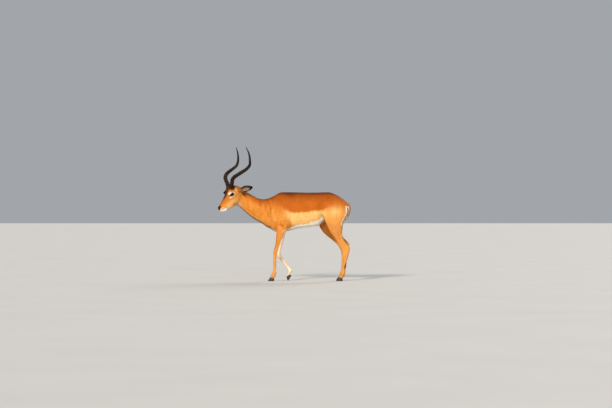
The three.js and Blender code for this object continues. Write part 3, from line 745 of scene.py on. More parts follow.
def fleshMesh():
    verts, faces, count = [], [], 0
    for name in skinPlan["nodes"]:
        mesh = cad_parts[name].data
        mine = readVerts(mesh) + readNormals(mesh) * skinPlan["overlap"]
        verts.append(mine)
        faces += [tuple(i + count for i in poly.vertices) for poly in mesh.polygons]
        count += len(mine)
    # balls of flesh round the roots of horns, ears and tail
    plugs = []
    for side in (1, -1):
        for share in skinPlan["hornPlugsAt"]:
            plugs.append((hornPath(side, np.array([share]))[0], skinPlan["hornPlug"]))
        root, axis, _, inward = earFrame(side)
        for reach in skinPlan["earPlugsAt"]:
            base = root + inward * 0.003 + axis * reach
            plugs.append((base, skinPlan["earPlug"] - reach * 0.15))
    for x, z, radius in tailPlan["dock"]:
        plugs.append((np.array([x, 0, z]) + bodyShift, radius))
    for centre, radius in plugs:
        mine, theirs = ballMesh(centre, radius)
        verts.append(mine)
        faces += [tuple(i + count for i in f) for f in theirs]
        count += len(mine)
    return wrapped("fleshSource", np.concatenate(verts), faces, skinPlan["voxel"])


def smoothJoins(mesh):
    # the places where legs, neck and trunk run into each other are evened most
    relax(mesh, 6)
    body, (u, _, v), *_ = regions(readVerts(mesh))
    x, _, z = body.T
    shoulder = hump(np.hypot(x + 0.02, z - 0.62), 0.13)
    haunch = hump(np.hypot((x - 0.50) / 1.3, z - 0.71), 0.15)
    breast = hump(np.hypot(x + 0.15, z - 0.70), 0.16)
    throat = hump(np.hypot(u - 0.06, v + 0.05), 0.07) * (z > 0.6) * 0.8
    join = np.clip(np.maximum.reduce([shoulder, haunch, breast, throat]), 0, 1)
    join = join * (1 - 0.7 * ramp(0.42, 0.36, z))
    relax(mesh, 40, join, keepVolume=True)
    relax(mesh, 12, join * 0.8, keepVolume=False)
    topLine = ramp(0.80, 0.86, z) * ramp(-0.20, -0.12, x) * 0.8
    relax(mesh, 18, topLine, keepVolume=True)
    corners = ramp(0.56, 0.62, x) * ramp(0.56, 0.62, z)
    relax(mesh, 30, corners, keepVolume=True)
    relax(mesh, 5, corners, keepVolume=False)


# bulges and hollows of the body's sides: middle x, z; reach x, z; lean in degrees; height in mm
bodyForms = {
    "shoulderBlade": ((-0.055, 0.775), (0.022, 0.090), 16, 4.5),
    "behindBlade": ((0.012, 0.790), (0.020, 0.075), 14, -4.0),
    "shoulderPoint": ((-0.100, 0.640), (0.040, 0.045), 0, 8.0),
    "triceps": ((0.005, 0.645), (0.045, 0.060), -28, 8.0),
    "armGroove": ((-0.048, 0.610), (0.011, 0.065), -30, -5.0),
    "elbowPoint": ((0.024, 0.560), (0.016, 0.020), 0, 5.0),
    "girth": ((0.066, 0.600), (0.018, 0.085), 0, -6.0),
    "neckGroove": ((-0.330, 0.700), (0.150, 0.012), 36, -3.5),
    "neckMuscle": ((-0.240, 0.760), (0.120, 0.030), 28, 3.5),
    "neckFoot": ((-0.128, 0.690), (0.010, 0.095), -6, -7.0),
    "neckFold": ((-0.162, 0.690), (0.009, 0.065), -12, -6.5),
    "upperFold": ((-0.226, 0.775), (0.009, 0.055), -14, -4.5),
    "neckRoll": ((-0.145, 0.700), (0.008, 0.070), -10, 2.5),
    "breastFold": ((-0.035, 0.572), (0.040, 0.009), 18, -6.0),
    "tricepsHollow": ((0.012, 0.604), (0.018, 0.022), -20, -5.0),
    "flankHollow": ((0.392, 0.765), (0.036, 0.045), 10, -5.0),
    "lastRib": ((0.330, 0.700), (0.020, 0.090), -18, 3.5),
    "hipPoint": ((0.432, 0.842), (0.020, 0.020), 0, 5.0),
    "haunchFront": ((0.455, 0.720), (0.030, 0.090), 18, 4.0),
    "haunchBack": ((0.590, 0.700), (0.045, 0.080), 0, 4.0),
    "haunchGroove": ((0.540, 0.680), (0.012, 0.090), 10, -4.5),
    "kneeCap": ((0.425, 0.600), (0.022, 0.030), 0, 5.0),
}


def shapeBody(mesh):
    # muscles, folds, ribs and tendons
    points = readVerts(mesh)
    normals = readNormals(mesh)
    body, _, head, neck, frontLeg, hindLeg = regions(points)
    x, y, z = body.T
    sideways = np.abs(normals[:, 1]) ** 0.7 * (1 - head)
    lift = bodyRelief(body, normals) * (1 - head)
    # the fold where belly meets thigh, and wrinkles across the neck
    thigh = thighFront(y, z)
    fold = hump(x - thigh + 0.004, 0.008) * ramp(0.60, 0.63, z) * ramp(0.72, 0.68, z)
    lift -= 0.0060 * fold * sideways
    wrinkles = np.sin((x * 0.93 - z * 0.30 + 0.014 * np.sin(z * 31)) * 2 * math.pi / 0.062)
    lift += 0.0013 * wrinkles * neck * sideways * ramp(-0.36, -0.28, x) * ramp(0.60, 0.68, z)
    ribs = np.sin((x + 0.35 * (z - 0.7)) * 2 * math.pi / 0.034)
    lift += 0.0007 * ribs * ramp(0.09, 0.13, x) * ramp(0.33, 0.28, x) * hump(z - 0.69, 0.075) * sideways
    # tendons stand apart from the bone on the lower legs
    for name, _, fore, share in eachLeg(body, frontLeg, hindLeg):
        across = legPlace(name, body)[0]
        cannon = ramp(0.10, 0.13, z) * (ramp(0.27, 0.24, z) if fore else ramp(0.29, 0.26, z))
        groove = hump(across - 0.25, 0.22) * cannon * np.abs(normals[:, 1])
        lift -= 0.0028 * groove * share
        joint = hump(z - (0.30 if fore else 0.345), 0.02) * np.abs(normals[:, 1]) * hump(across + 0.1, 0.6)
        lift += 0.0022 * joint * share
        if not fore:
            string = hump(across - 0.42, 0.26) * ramp(0.38, 0.41, z) * ramp(0.52, 0.47, z)
            lift -= 0.0065 * string * np.abs(normals[:, 1]) * share
        dew = hump(z - 0.088, 0.013) * ramp(0.3, 0.9, across)
        lift += 0.0018 * dew * share
    writeVerts(mesh, points + normals * lift[:, None])


def coatDepth(points):
    # how far the skin lies inside the coat's outline
    body, (u, _, _), head, neck, frontLeg, hindLeg = regions(points)
    depth = np.full(len(body), 0.0034)
    depth += 0.0012 * neck
    legs = np.maximum(frontLeg, hindLeg) * ramp(0.52, 0.36, body[:, 2])
    depth = depth * (1 - legs) + 0.0014 * legs
    muzzle = ramp(0.10, 0.24, u)
    return depth * (1 - head) + head * (0.0020 - 0.0012 * muzzle)


def eyeAxes(side):
    gaze = unit(0.30 * noseAxis + 0.93 * side * leftAxis + 0.16 * crownAxis)
    tilt = math.radians(headPose["eyeTilt"])
    front = math.cos(tilt) * noseAxis + math.sin(tilt) * crownAxis
    front = unit(front - gaze * (front @ gaze))
    brow = np.cross(gaze, front) * side
    if brow @ crownAxis < 0:
        brow = -brow
    u, l, v = headPose["eye"]
    return fromHead(u, l * side, v), gaze, front, brow


nostrilPlan = {
    # a comma that runs back and out, its ends in the head's own axes
    "from": (0.2935, 0.0095, 0.0550), "to": (0.2800, 0.0205, 0.0690),
    "width": 0.0054, "taper": 0.0014, "depth": 0.0090, "rim": 0.0014,
}


def openNostril(points, normals, head, side):
    p = nostrilPlan
    start, end = (np.array(p[key]) * [1, side, 1] for key in ("from", "to"))
    hole = np.stack(toHead(points), axis=1)
    run = end - start
    t = np.clip(((hole - start) @ run) / (run @ run), 0, 1)
    gap = np.linalg.norm(hole - (start + t[:, None] * run), axis=1)
    depth = p["depth"] * np.exp(-(gap / (p["width"] - p["taper"] * t)) ** 4)
    rim = p["rim"] * hump(gap - 0.0072, 0.0024)
    into = unit(leftAxis * side * 0.45 + noseAxis * 0.80 + crownAxis * 0.40)
    return points + normals * (rim * head)[:, None] - into * (depth * head)[:, None]


def closeLids(points, side):
    # lids close over the ball all round an almond-shaped opening
    p = skinPlan
    centre, gaze, front, brow = eyeAxes(side)
    q = points - centre
    a, b, c = q @ front, q @ brow, q @ gaze
    r = np.linalg.norm(q, axis=1)
    near = (c > -0.002) & (np.hypot(a, b) < 0.034)
    shape = np.clip(1 - (a / p["eyeHalfLength"]) ** 2, 0, 1) ** 0.75
    edge = np.abs(b) - p["eyeHalfHeight"] * shape * np.where(b > 0, 1.08, 0.92)
    pastCorner = np.abs(a) - p["eyeHalfLength"]
    edge = np.where(pastCorner > 0, np.hypot(pastCorner, b), edge)
    lidRadius = p["eyeRadius"] + p["lid"]
    free = ramp(0.0, 0.013, edge)
    fold = 0.0011 * hump(edge - 0.0062, 0.0018) * np.where(b > 0, 1.0, 0.6)
    reach = lidRadius * (1 - free) + np.maximum(r, lidRadius) * free - fold
    reach += 0.0007 * hump(edge - 0.0012, 0.0014)
    inside = ramp(0.0002, -0.0012, edge)
    reach = reach * (1 - inside) + (p["eyeRadius"] - 0.0035) * inside
    moved = centre + q / np.maximum(r, 1e-6)[:, None] * reach[:, None]
    points[near] = moved[near]


def shapeHead(mesh):
    points = readVerts(mesh)
    normals = readNormals(mesh)
    _, (u, left, v), head, *_ = regions(points)
    side = np.abs(left)
    out = np.abs(normals @ leftAxis)
    lift = np.zeros(len(u))
    # cheekbone, hollow before the eye, jaw muscle, temples, brow
    cheekbone = hump(v - 0.048 - (0.15 - u) * 0.10, 0.011)
    lift += 0.0030 * cheekbone * ramp(0.06, 0.10, u) * ramp(0.21, 0.15, u) * out
    lift -= 0.0030 * hump(np.hypot((u - 0.165) / 1.6, v - 0.072), 0.018) * out
    lift += 0.0040 * hump(np.hypot((u - 0.095) / 1.2, v - 0.000), 0.040) * out
    lift -= 0.0028 * hump(np.hypot((u - 0.175) / 1.7, v - 0.022), 0.014) * out
    lift += 0.0032 * hump(np.hypot((u - 0.098) / 1.5, v - 0.105), 0.012) * ramp(0.020, 0.034, side)
    lift -= 0.0030 * hump(np.hypot(u - 0.052, v - 0.090), 0.020) * out
    # nose wings, chin and lips
    lift += 0.0022 * hump(np.hypot(u - 0.284, v - 0.066), 0.011) * ramp(0.008, 0.018, side)
    overLip = v - mouthHeight(u)
    inMouth = ramp(0.240, 0.250, u)
    lift -= 0.0034 * hump(overLip, 0.0022) * inMouth
    lift += 0.0012 * hump(overLip - 0.006, 0.0035) * inMouth
    lift += 0.0010 * hump(overLip + 0.0055, 0.0035) * inMouth
    lift -= 0.0012 * hump(side, 0.0022) * ramp(0.286, 0.294, u) * ramp(0.040, 0.048, v)
    points = points + normals * (lift * head)[:, None]
    for side in (1, -1):
        points = openNostril(points, normals, head, side)
    for side in (1, -1):
        closeLids(points, side)
    writeVerts(mesh, points)


def earFrame(side):
    p = earPlan["left" if side > 0 else "right"]
    turn = lambda w: heading * w[0] + leftAxis * w[1] + np.array([0, 0, w[2]])
    axis = unit(turn(p["axis"]))
    opening = turn(p["opening"])
    across = unit(np.cross(axis, opening))
    inward = np.cross(across, axis)
    root = earPlan["root"]
    return fromHead(root[0], root[1] * side, root[2]), axis, across, inward


def earPoint(side, t, s, layer):
    # t runs from root to tip, s from edge to edge (-1 to 1), layer is -1 outside and 1 inside
    p = earPlan
    root, axis, across, inward = earFrame(side)
    tt = np.clip(t, 0, 1)
    leaf = np.maximum(np.sin(math.pi * tt ** 0.8), 0) ** 0.7
    rootShare = (1 - tt) ** 5
    halfWidth = p["rootRadius"] * rootShare + p["halfWidth"] * leaf * (1 - rootShare) + 0.0006
    tube = ramp(0.30, 0.02, t)
    cup = (p["cup"] * (1 - 0.45 * tt)) * (1 - tube) + p["tube"] * tube
    bend = halfWidth / np.sin(np.minimum(cup, math.pi / 2))
    thick = p["thickness"] * (0.35 + 0.65 * (1 - np.abs(s) ** 3)) * (1 - 0.6 * tt) + 0.004 * rootShare
    radius = bend - layer * thick / 2
    # soft ribs inside
    radius = radius + (layer > 0) * 0.0009 * np.cos(s * 9) * (1 - tt) * (1 - np.abs(s))
    angle = cup * s
    place = root + axis * (p["length"] * t)[:, None]
    place = place - inward * (0.006 * np.sin(math.pi * tt) + 0.011 * ramp(0.22, 0.0, t))[:, None]
    place = place + across * (radius * np.sin(angle))[:, None]
    return place + inward * (bend - radius * np.cos(angle))[:, None]


def earShell(side):
    p = earPlan
    rings, n = p["rings"], p["across"]
    t = np.repeat(np.linspace(-p["buried"], 1, rings), 2 * n)
    s = np.tile(np.concatenate([np.linspace(-1, 1, n), np.linspace(1, -1, n)]), rings)
    layer = np.tile(np.concatenate([-np.ones(n), np.ones(n)]), rings)
    verts = earPoint(side, t, s, layer)
    faces = ringFaces(rings, 2 * n)
    last = (rings - 1) * 2 * n
    faces.append(tuple(range(2 * n - 1, -1, -1)))
    faces.append(tuple(range(last, last + 2 * n)))
    return verts, faces, earMarks(t, s, layer > 0, side)


def earMarks(t, s, inner, side):
    # black tip and rim, tan back, grey-brown hollow with pale hair along its lower part
    upper = s * np.sign(earFrame(side)[2][2])
    tipBlack = ramp(0.66, 0.80, t + 0.05 * np.abs(s))
    rim = ramp(0.80, 0.95, np.abs(s)) * ramp(0.12, 0.30, t)
    topEdge = ramp(0.20, 0.55, upper) * ramp(0.05, 0.25, t)
    low = 0.25 + 0.75 * ramp(0.35, -0.30, upper)
    m = blankMarks(len(t))
    streaks = hump(s + 0.45, 0.16) + 0.9 * hump(s - 0.05, 0.13) + 0.8 * hump(s - 0.50, 0.13)
    gaps = hump(s + 0.20, 0.10) + hump(s - 0.28, 0.10)
    m["white"] = np.where(inner, 0.06 + 0.50 * streaks * low * ramp(0.80, 0.55, t) * ramp(0.05, 0.20, t), 0)
    m["brown"] = np.where(inner, np.clip(0.76 + 0.24 * gaps, 0, 1), 0.10 + 0.50 * t * t)
    m["pale"] = np.where(inner, 0.2, 0.05)
    m["saddle"] = np.where(inner, 0, 0.35)
    m["black"] = np.clip(np.maximum.reduce([tipBlack, rim * 0.8, topEdge * 0.75,
                                            np.where(inner, 0.35 * gaps, 0)]), 0, 1)
    return m


def tailShell():
    p = tailPlan
    t = np.linspace(0, 1, p["rings"])
    outer = spline([s[0] for s in p["stations"]], t)
    inner = spline([s[1] for s in p["stations"]], t)
    half = spline([(s[2], 0) for s in p["stations"]], t)[:, 0]
    verts, marksT = [], []
    for k in range(len(t)):
        for i in range(p["around"]):
            turn = 2 * math.pi * i / p["around"]
            share = (1 + math.cos(turn)) / 2
            x, z = inner[k] + (outer[k] - inner[k]) * share
            verts.append(np.array([x, half[k] * math.sin(turn), z]) + bodyShift)
            marksT.append((t[k], math.cos(turn), abs(math.sin(turn))))
    faces = [tuple(reversed(f)) for f in ringFaces(p["rings"], p["around"])]
    last = (p["rings"] - 1) * p["around"]
    faces += [tuple(range(p["around"])), tuple(range(last + p["around"] - 1, last - 1, -1))]
    tt, outward, aside = np.array(marksT).T
    return np.array(verts), faces, tailMarks(tt, outward, aside)


def tailMarks(t, outward, aside):
    m = blankMarks(len(t))
    topLine = ramp(0.45, 0.8, outward)
    under = ramp(0.15, -0.45, outward)
    m["white"] = np.maximum(under * ramp(0.10, 0.25, t), (1 - topLine) * ramp(0.62, 0.80, t)) * 0.9
    m["saddle"] = 0.5 * (1 - ramp(0.35, 0.6, t))
    m["black"] = topLine * ramp(0.50, 0.66, t) * ramp(1.05, 0.9, t) * hump(aside, 0.5)
    return m


def fixFacing(mesh):
    bm = bmesh.new()
    bm.from_mesh(mesh)
    bmesh.ops.recalc_face_normals(bm, faces=bm.faces)
    bm.to_mesh(mesh)
    bm.free()
    mesh.shade_smooth()


def headParts(mesh):
    # which vertices are the head's, their places in it and how far they are from the eye
    points = readVerts(mesh)
    u, left, v = toHead(points)
    eyeU, _, eyeV = headPose["eye"]
    return regions(points)[2] > 0.5, u, np.abs(left), v, np.hypot(u - eyeU, v - eyeV)


def makeSkin():
    mesh = fleshMesh()
    print("whole", len(mesh.vertices), "vertices")
    smoothJoins(mesh)
    shapeBody(mesh)
    refine(mesh, regions(readVerts(mesh))[2] > 0.3)
    relax(mesh, 2, regions(readVerts(mesh))[2])
    points = readVerts(mesh)
    writeVerts(mesh, points - readNormals(mesh) * coatDepth(points)[:, None])
    # finer round the eyes and mouth, and finer again at lids and nostrils
    head, u, side, v, fromEye = headParts(mesh)
    refine(mesh, head & (((fromEye < 0.031) & (side > 0.02)) | (u > 0.244)))
    head, u, side, v, fromEye = headParts(mesh)
    nearEye = fromEye < 0.025
    relax(mesh, 2, (head & (nearEye | (u > 0.25))).astype(float))
    refine(mesh, head & ((nearEye & (side > 0.025)) | ((u > 0.271) & (v > 0.044))))
    shapeHead(mesh)
    points = readVerts(mesh)
    bodyMarks = markings(points, readNormals(mesh))
    # ears and tail are thin, so they are made finely and joined to the same skin
    verts, count = [points], len(points)
    faces = [tuple(poly.vertices) for poly in mesh.polygons]
    allMarks = [bodyMarks]
    owner = [np.zeros(len(points))]
    for k, (moreVerts, moreFaces, moreMarks) in enumerate((earShell(1), earShell(-1), tailShell())):
        verts.append(moreVerts)
        faces += [tuple(i + count for i in f) for f in moreFaces]
        allMarks.append(moreMarks)
        owner.append(np.full(len(moreVerts), k + 1.0))
        count += len(moreVerts)
    skin = meshObject("skin", np.concatenate(verts), faces)
    bpy.data.meshes.remove(mesh)
    fixFacing(skin.data)
    merged = {key: np.concatenate([np.broadcast_to(m[key], len(o)) for m, o in zip(allMarks, owner)])
              for key in bodyMarks}
    paintMarks(skin.data, merged)
    skin.data.materials.append(skinMaterial())
    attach(skin, "root")
    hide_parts("head", "neck", "trunk", "tail", "leg_front_left", "leg_front_right",
                "leg_hind_left", "leg_hind_right", "ear_left", "ear_right")
    print("skin", len(skin.data.vertices), "vertices")
    return skin, merged, np.concatenate(owner)


skin, skinMarks, skinOwner = makeSkin()


eyePlan = {"radius": 0.019, "cornea": 0.0012, "rings": 64, "around": 96,
           "iris": 0.0118, "pupil": (0.0068, 0.0030)}


def eyeMaterial():
    m = Maker("eye_wet")
    pupil, iris, rim = m.masks("eyeParts")
    streak = m.noise(380.0, 4.0)
    brown = m.mix(streak, srgb(34, 16, 8), srgb(14, 8, 5))
    colour = m.mix(iris, srgb(14, 9, 7), brown)
    colour = m.mix(pupil, colour, srgb(5, 5, 8))
    colour = m.mix(rim, colour, srgb(10, 7, 6))
    return m.finish(colour, 0.06, Specular_IOR_Level=0.30)


def makeEye(name, side, material):
    # a ball that bulges a little over the iris, with a long level pupil
    p = eyePlan
    centre, gaze, front, brow = eyeAxes(side)
    verts, parts = [], []
    for r in range(p["rings"] + 1):
        polar = math.pi * (r / p["rings"]) ** 1.25
        for i in range(p["around"]):
            turn = 2 * math.pi * i / p["around"]
            a, b = math.sin(polar) * math.cos(turn), math.sin(polar) * math.sin(turn)
            bulgeLight = p["cornea"] * math.exp(-(polar / 0.55) ** 4)
            verts.append(centre + (p["radius"] + bulgeLight) * (front * a + brow * b + gaze * math.cos(polar)))
            la, lb = a * p["radius"], b * p["radius"]
            ahead = math.cos(polar) > 0
            pupil = ahead * float(ramp(1.15, 0.9, math.hypot(la / p["pupil"][0], lb / p["pupil"][1])))
            reach = math.hypot(la, lb) / p["iris"]
            parts.append((pupil, ahead * float(ramp(1.02, 0.95, reach)),
                          ahead * float(hump(reach - 1.0, 0.10))))
    faces = ringFaces(p["rings"] + 1, p["around"])
    eye = meshObject("eyeball_" + name, verts, faces)
    fixFacing(eye.data)
    addMask(eye.data, "eyeParts", np.array(parts).T)
    eye.data.materials.append(material)
    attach(eye, "root")
    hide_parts("eye_" + name)


wet = eyeMaterial()
for name, side in (("left", 1), ("right", -1)):
    makeEye(name, side, wet)
print("eyes made")


def hornMaterial():
    m = Maker("ringed_horn")
    ridge, tip, worn = m.masks("hornParts")
    grain = m.noise(150.0, 5.0, (1.0, 1.0, 0.12))
    cloud = m.noise(28.0, 3.0)
    fine = m.noise(520.0, 3.0, (1.0, 1.0, 0.15))
    dark = m.mix(cloud, srgb(20, 14, 10), srgb(44, 28, 16))
    light = m.mix(cloud, srgb(64, 40, 20), srgb(124, 82, 44))
    # painted highlight in brown over the ridges
    colour = m.mix(worn * ridge, dark, light)
    colour = m.mix(grain * 0.6, colour, srgb(22, 16, 12))
    # painted shade in the grooves between the ridges
    colour = m.mix((1 - ridge) * 0.8, colour, srgb(10, 7, 6))
    colour = m.mix(tip * 0.9, colour, srgb(10, 8, 7))
    height = grain * 0.6 + cloud * 0.2 + fine * 0.2
    rough = 0.56 - 0.18 * tip + 0.12 * cloud
    return m.finish(colour, rough, height, bump=0.5, distance=0.0010, Specular_IOR_Level=0.16)


def makeHorn(name, side, material):
    p = hornPlan
    run = np.linspace(-0.045, 1, p["rings"])
    t = np.maximum(run, 0)
    centres = hornPath(side, run)
    tangents = unit(np.gradient(centres, axis=0))
    across = unit(np.cross(tangents, np.broadcast_to(heading, tangents.shape)))
    front = np.cross(across, tangents)
    taper = p["tipRadius"] + (p["baseRadius"] - p["tipRadius"]) * (1 - t ** 2) ** 0.82
    turn = np.arange(p["around"]) / p["around"] * 2 * math.pi
    frontness = 0.5 + 0.5 * np.cos(turn)
    # rings rise round the front and fade behind, and each leans back a little
    phase = (t / p["ridgedPart"] * p["ridges"])[:, None] + p["slant"] * (1 - frontness)[None, :]
    beat = phase - np.floor(phase)
    wave = np.exp(-((beat - 0.60) / np.where(beat < 0.60, 0.24, 0.13)) ** 2)
    fade = (ramp(p["ridgedPart"], p["ridgedPart"] - 0.12, t) * ramp(0.0, 0.05, t))[:, None]
    wobble = rng.uniform(0.7, 1.15, p["ridges"] + 4)
    strength = wobble[np.minimum(phase.astype(int), p["ridges"] + 3)]
    reach = 0.22 + 0.78 * frontness[None, :] ** 0.8
    size = 0.45 + 0.55 * taper[:, None] / p["baseRadius"]
    radius = taper[:, None] + p["ridgeHeight"] * (wave - 0.42) * fade * strength * reach * size
    flutes = 0.00022 * np.sin(turn * 13)[None, :] * (1 - 0.6 * t)[:, None]
    radius = radius + flutes * (1 - wave * 0.6)
    verts = (centres[:, None, :] + radius[..., None] * (front[:, None, :] * np.cos(turn)[None, :, None]
             + across[:, None, :] * np.sin(turn)[None, :, None])).reshape(-1, 3)
    faces = ringFaces(p["rings"], p["around"])
    last = (p["rings"] - 1) * p["around"]
    faces += [tuple(range(p["around"] - 1, -1, -1)), tuple(range(last, last + p["around"]))]
    horn = meshObject("horn_shape_" + name, verts, faces)
    fixFacing(horn.data)
    ridge = np.clip(wave * fade + 0.45 * (1 - fade), 0, 1)
    addMask(horn.data, "hornParts", (ridge.ravel(), np.repeat(ramp(0.55, 0.85, t), p["around"]),
                                     np.tile(0.35 + 0.65 * frontness, p["rings"]) * p["worn"][name]))
    horn.data.materials.append(material)
    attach(horn, "root")
    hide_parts("horn_" + name)


ringed = hornMaterial()
for name, side in (("left", 1), ("right", -1)):
    makeHorn(name, side, ringed)
print("horns made")


hoofPlan = {"voxel": 0.0016, "rounds": 9, "groove": 0.00012, "rings": (760, 170), "scratches": (1900, 90)}


def hoofMaterial():
    m = Maker("hoof_horn")
    rings = m.noise(260.0, 3.0, (0.15, 0.15, 1.0))
    cloud = m.noise(60.0, 3.0)
    fibre = m.noise(420.0, 4.0, (1.0, 1.0, 0.10))
    colour = m.mix(cloud * 0.7, srgb(20, 16, 14), srgb(50, 39, 30))
    colour = m.mix(fibre * 0.5, colour, srgb(30, 24, 20))
    height = rings * 0.4 + cloud * 0.3 + fibre * 0.3
    return m.finish(colour, 0.42 + 0.25 * cloud, height, bump=0.35, distance=0.0008)


def makeHoof(node, material):
    # the claw's own solid with its edges worn round and fine growth rings
    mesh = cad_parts[node].data
    fine = wrapped("hoofSource", readVerts(mesh), [tuple(p.vertices) for p in mesh.polygons],
                   hoofPlan["voxel"])
    floor = readVerts(fine)[:, 2].min()
    relax(fine, hoofPlan["rounds"])
    points = readVerts(fine)
    z = points[:, 2]
    (ring, drift), (scratch, lean) = hoofPlan["rings"], hoofPlan["scratches"]
    rings = np.sin(z * ring + 2.2 * np.sin(z * drift)) + 0.6 * np.sin(z * scratch + points[:, 0] * lean)
    points += readNormals(fine) * (rings * hoofPlan["groove"])[:, None]
    points[:, 2] = np.maximum(points[:, 2], floor)
    writeVerts(fine, points)
    fine.shade_smooth()
    claw = bpy.data.objects.new(node.replace("hoof", "claw"), fine)
    scene.collection.objects.link(claw)
    fine.materials.clear()
    fine.materials.append(material)
    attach(claw, "root")
    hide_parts(node)


hoofBlack = hoofMaterial()
for node in sorted(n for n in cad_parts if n.startswith("hoof")):
    makeHoof(node, hoofBlack)
print("hooves made")


def unwrapSkin():
    # the unwrap of the skin's own shape, shared by skin and coat
    bpy.context.view_layer.objects.active = skin
    skin.select_set(True)
    skin.data.uv_layers.new(name="OFBake")
    bpy.ops.object.mode_set(mode="EDIT")
    bpy.ops.mesh.select_all(action="SELECT")
    bpy.ops.uv.smart_project(angle_limit=math.radians(66), island_margin=0.002)
    bpy.ops.object.mode_set(mode="OBJECT")
    skin.select_set(False)


unwrapSkin()
print("skin unwrapped")


# length, width and lift in metres; density in tufts for each square centimetre
coatPlan = {
    "trunk": {"length": 0.0150, "width": 0.0017, "lift": 0.0014, "density": 22.0, "spread": 0.12},
    "neck": {"length": 0.0165, "width": 0.0015, "lift": 0.0014, "density": 27.0, "spread": 0.12},
    "head": {"length": 0.0070, "width": 0.0011, "lift": 0.0011, "density": 42.0, "spread": 0.12},
    "legs": {"length": 0.0095, "width": 0.0013, "lift": 0.0012, "density": 26.0, "spread": 0.10},
    "sink": 0.0005,           # how deep each root lies in the skin
    "patch": 0.003,           # size of a tuft's patch on the unwrap
    "quickShare": 0.12,
    # where the coat is cut into pieces
    "cuts": {"low": 0.50, "legs": 0.25, "neck": -0.10, "shoulder": 0.10, "flank": 0.40},
}


def skinTriangles():
    mesh = skin.data
    mesh.calc_loop_triangles()
    count = len(mesh.loop_triangles)
    corners = np.empty(count * 3, np.int32)
    mesh.loop_triangles.foreach_get("vertices", corners)
    loops = np.empty(count * 3, np.int32)
    mesh.loop_triangles.foreach_get("loops", loops)
    uv = np.empty(len(mesh.loops) * 2, np.float32)
    mesh.uv_layers["OFBake"].data.foreach_get("uv", uv)
    return corners.reshape(-1, 3), loops.reshape(-1, 3), uv.reshape(-1, 2)


def lieOfCoat(points, normals):
    # the way the hair runs, laid flat on the skin
    body, (u, left, _), head, neck, frontLeg, hindLeg = regions(points)
    z = body[:, 2]
    count = len(z)
    way = np.tile([1.0, 0.0, -0.42], (count, 1))
    way[:, 2] -= 0.25 * ramp(0.80, 0.60, z)
    neckWay = np.tile([0.80, 0.10, -0.62], (count, 1))
    way = way * (1 - neck)[:, None] + neckWay * neck[:, None]
    for name, _, _, share in eachLeg(body, frontLeg, hindLeg):
        mine = share[:, None]
        lean = legPlace(name, body)[2]
        down = np.stack([-lean, np.zeros(count), -np.ones(count)], axis=1)
        down = unit(down) + np.array([0.25, 0, 0]) * (z > 0.45)[:, None]
        way = way * (1 - mine) + down * mine
    backward = -noseAxis + 0.10 * crownAxis
    side = np.sign(left)[:, None]
    drop = (0.35 * ramp(0.16, 0.06, u))[:, None]
    faceWay = backward[None, :] + side * leftAxis[None, :] * 0.25 - crownAxis[None, :] * drop
    way = way * (1 - head)[:, None] + faceWay * head[:, None]
    return flatOn(way, normals)


def flatOn(way, normals):
    return unit(way - normals * np.sum(way * normals, axis=1, keepdims=True))


def spread(way, normal, amount):
    # turns every way a little to one side
    side = np.cross(normal, way)
    return unit(way + side * (rng.normal(0, 1, len(way)) * amount)[:, None])


def scatter(perSquareCm):
    # places spread over the skin, as many as the density asks for: the point, its normal, its place on
    # the unwrap, its marks, and a function that reads any other value of the skin there
    corners, loops, uv = triangles
    p0, p1, p2 = (skinVerts[corners[:, k]] for k in range(3))
    area = np.linalg.norm(np.cross(p1 - p0, p2 - p0), axis=1) / 2 * 10000
    wanted = area * perSquareCm * 1.0
    counts = np.floor(wanted + rng.random(len(wanted))).astype(int)
    which = np.repeat(np.arange(len(wanted)), counts)
    r1, r2 = rng.random(len(which)), rng.random(len(which))
    root = np.sqrt(r1)
    w = np.stack([1 - root, root * (1 - r2), root * r2], axis=1)
    point = sum(skinVerts[corners[which, k]] * w[:, k:k + 1] for k in range(3))
    normal = unit(sum(skinNormals[corners[which, k]] * w[:, k:k + 1] for k in range(3)))
    place = sum(uv[loops[which, k]] * w[:, k:k + 1] for k in range(3))

    def at(values):
        return sum(values[corners[which, k]] * w[:, k] for k in range(3))
    return point, normal, place, {key: at(value) for key, value in skinMarks.items()}, at


def cornerMean(values):
    # a value of the skin, averaged over the corners of each triangle
    corners = triangles[0]
    return sum(values[corners[:, k]] for k in range(3)) / 3


def only(m, chosen):
    return {key: value[chosen] for key, value in m.items()}


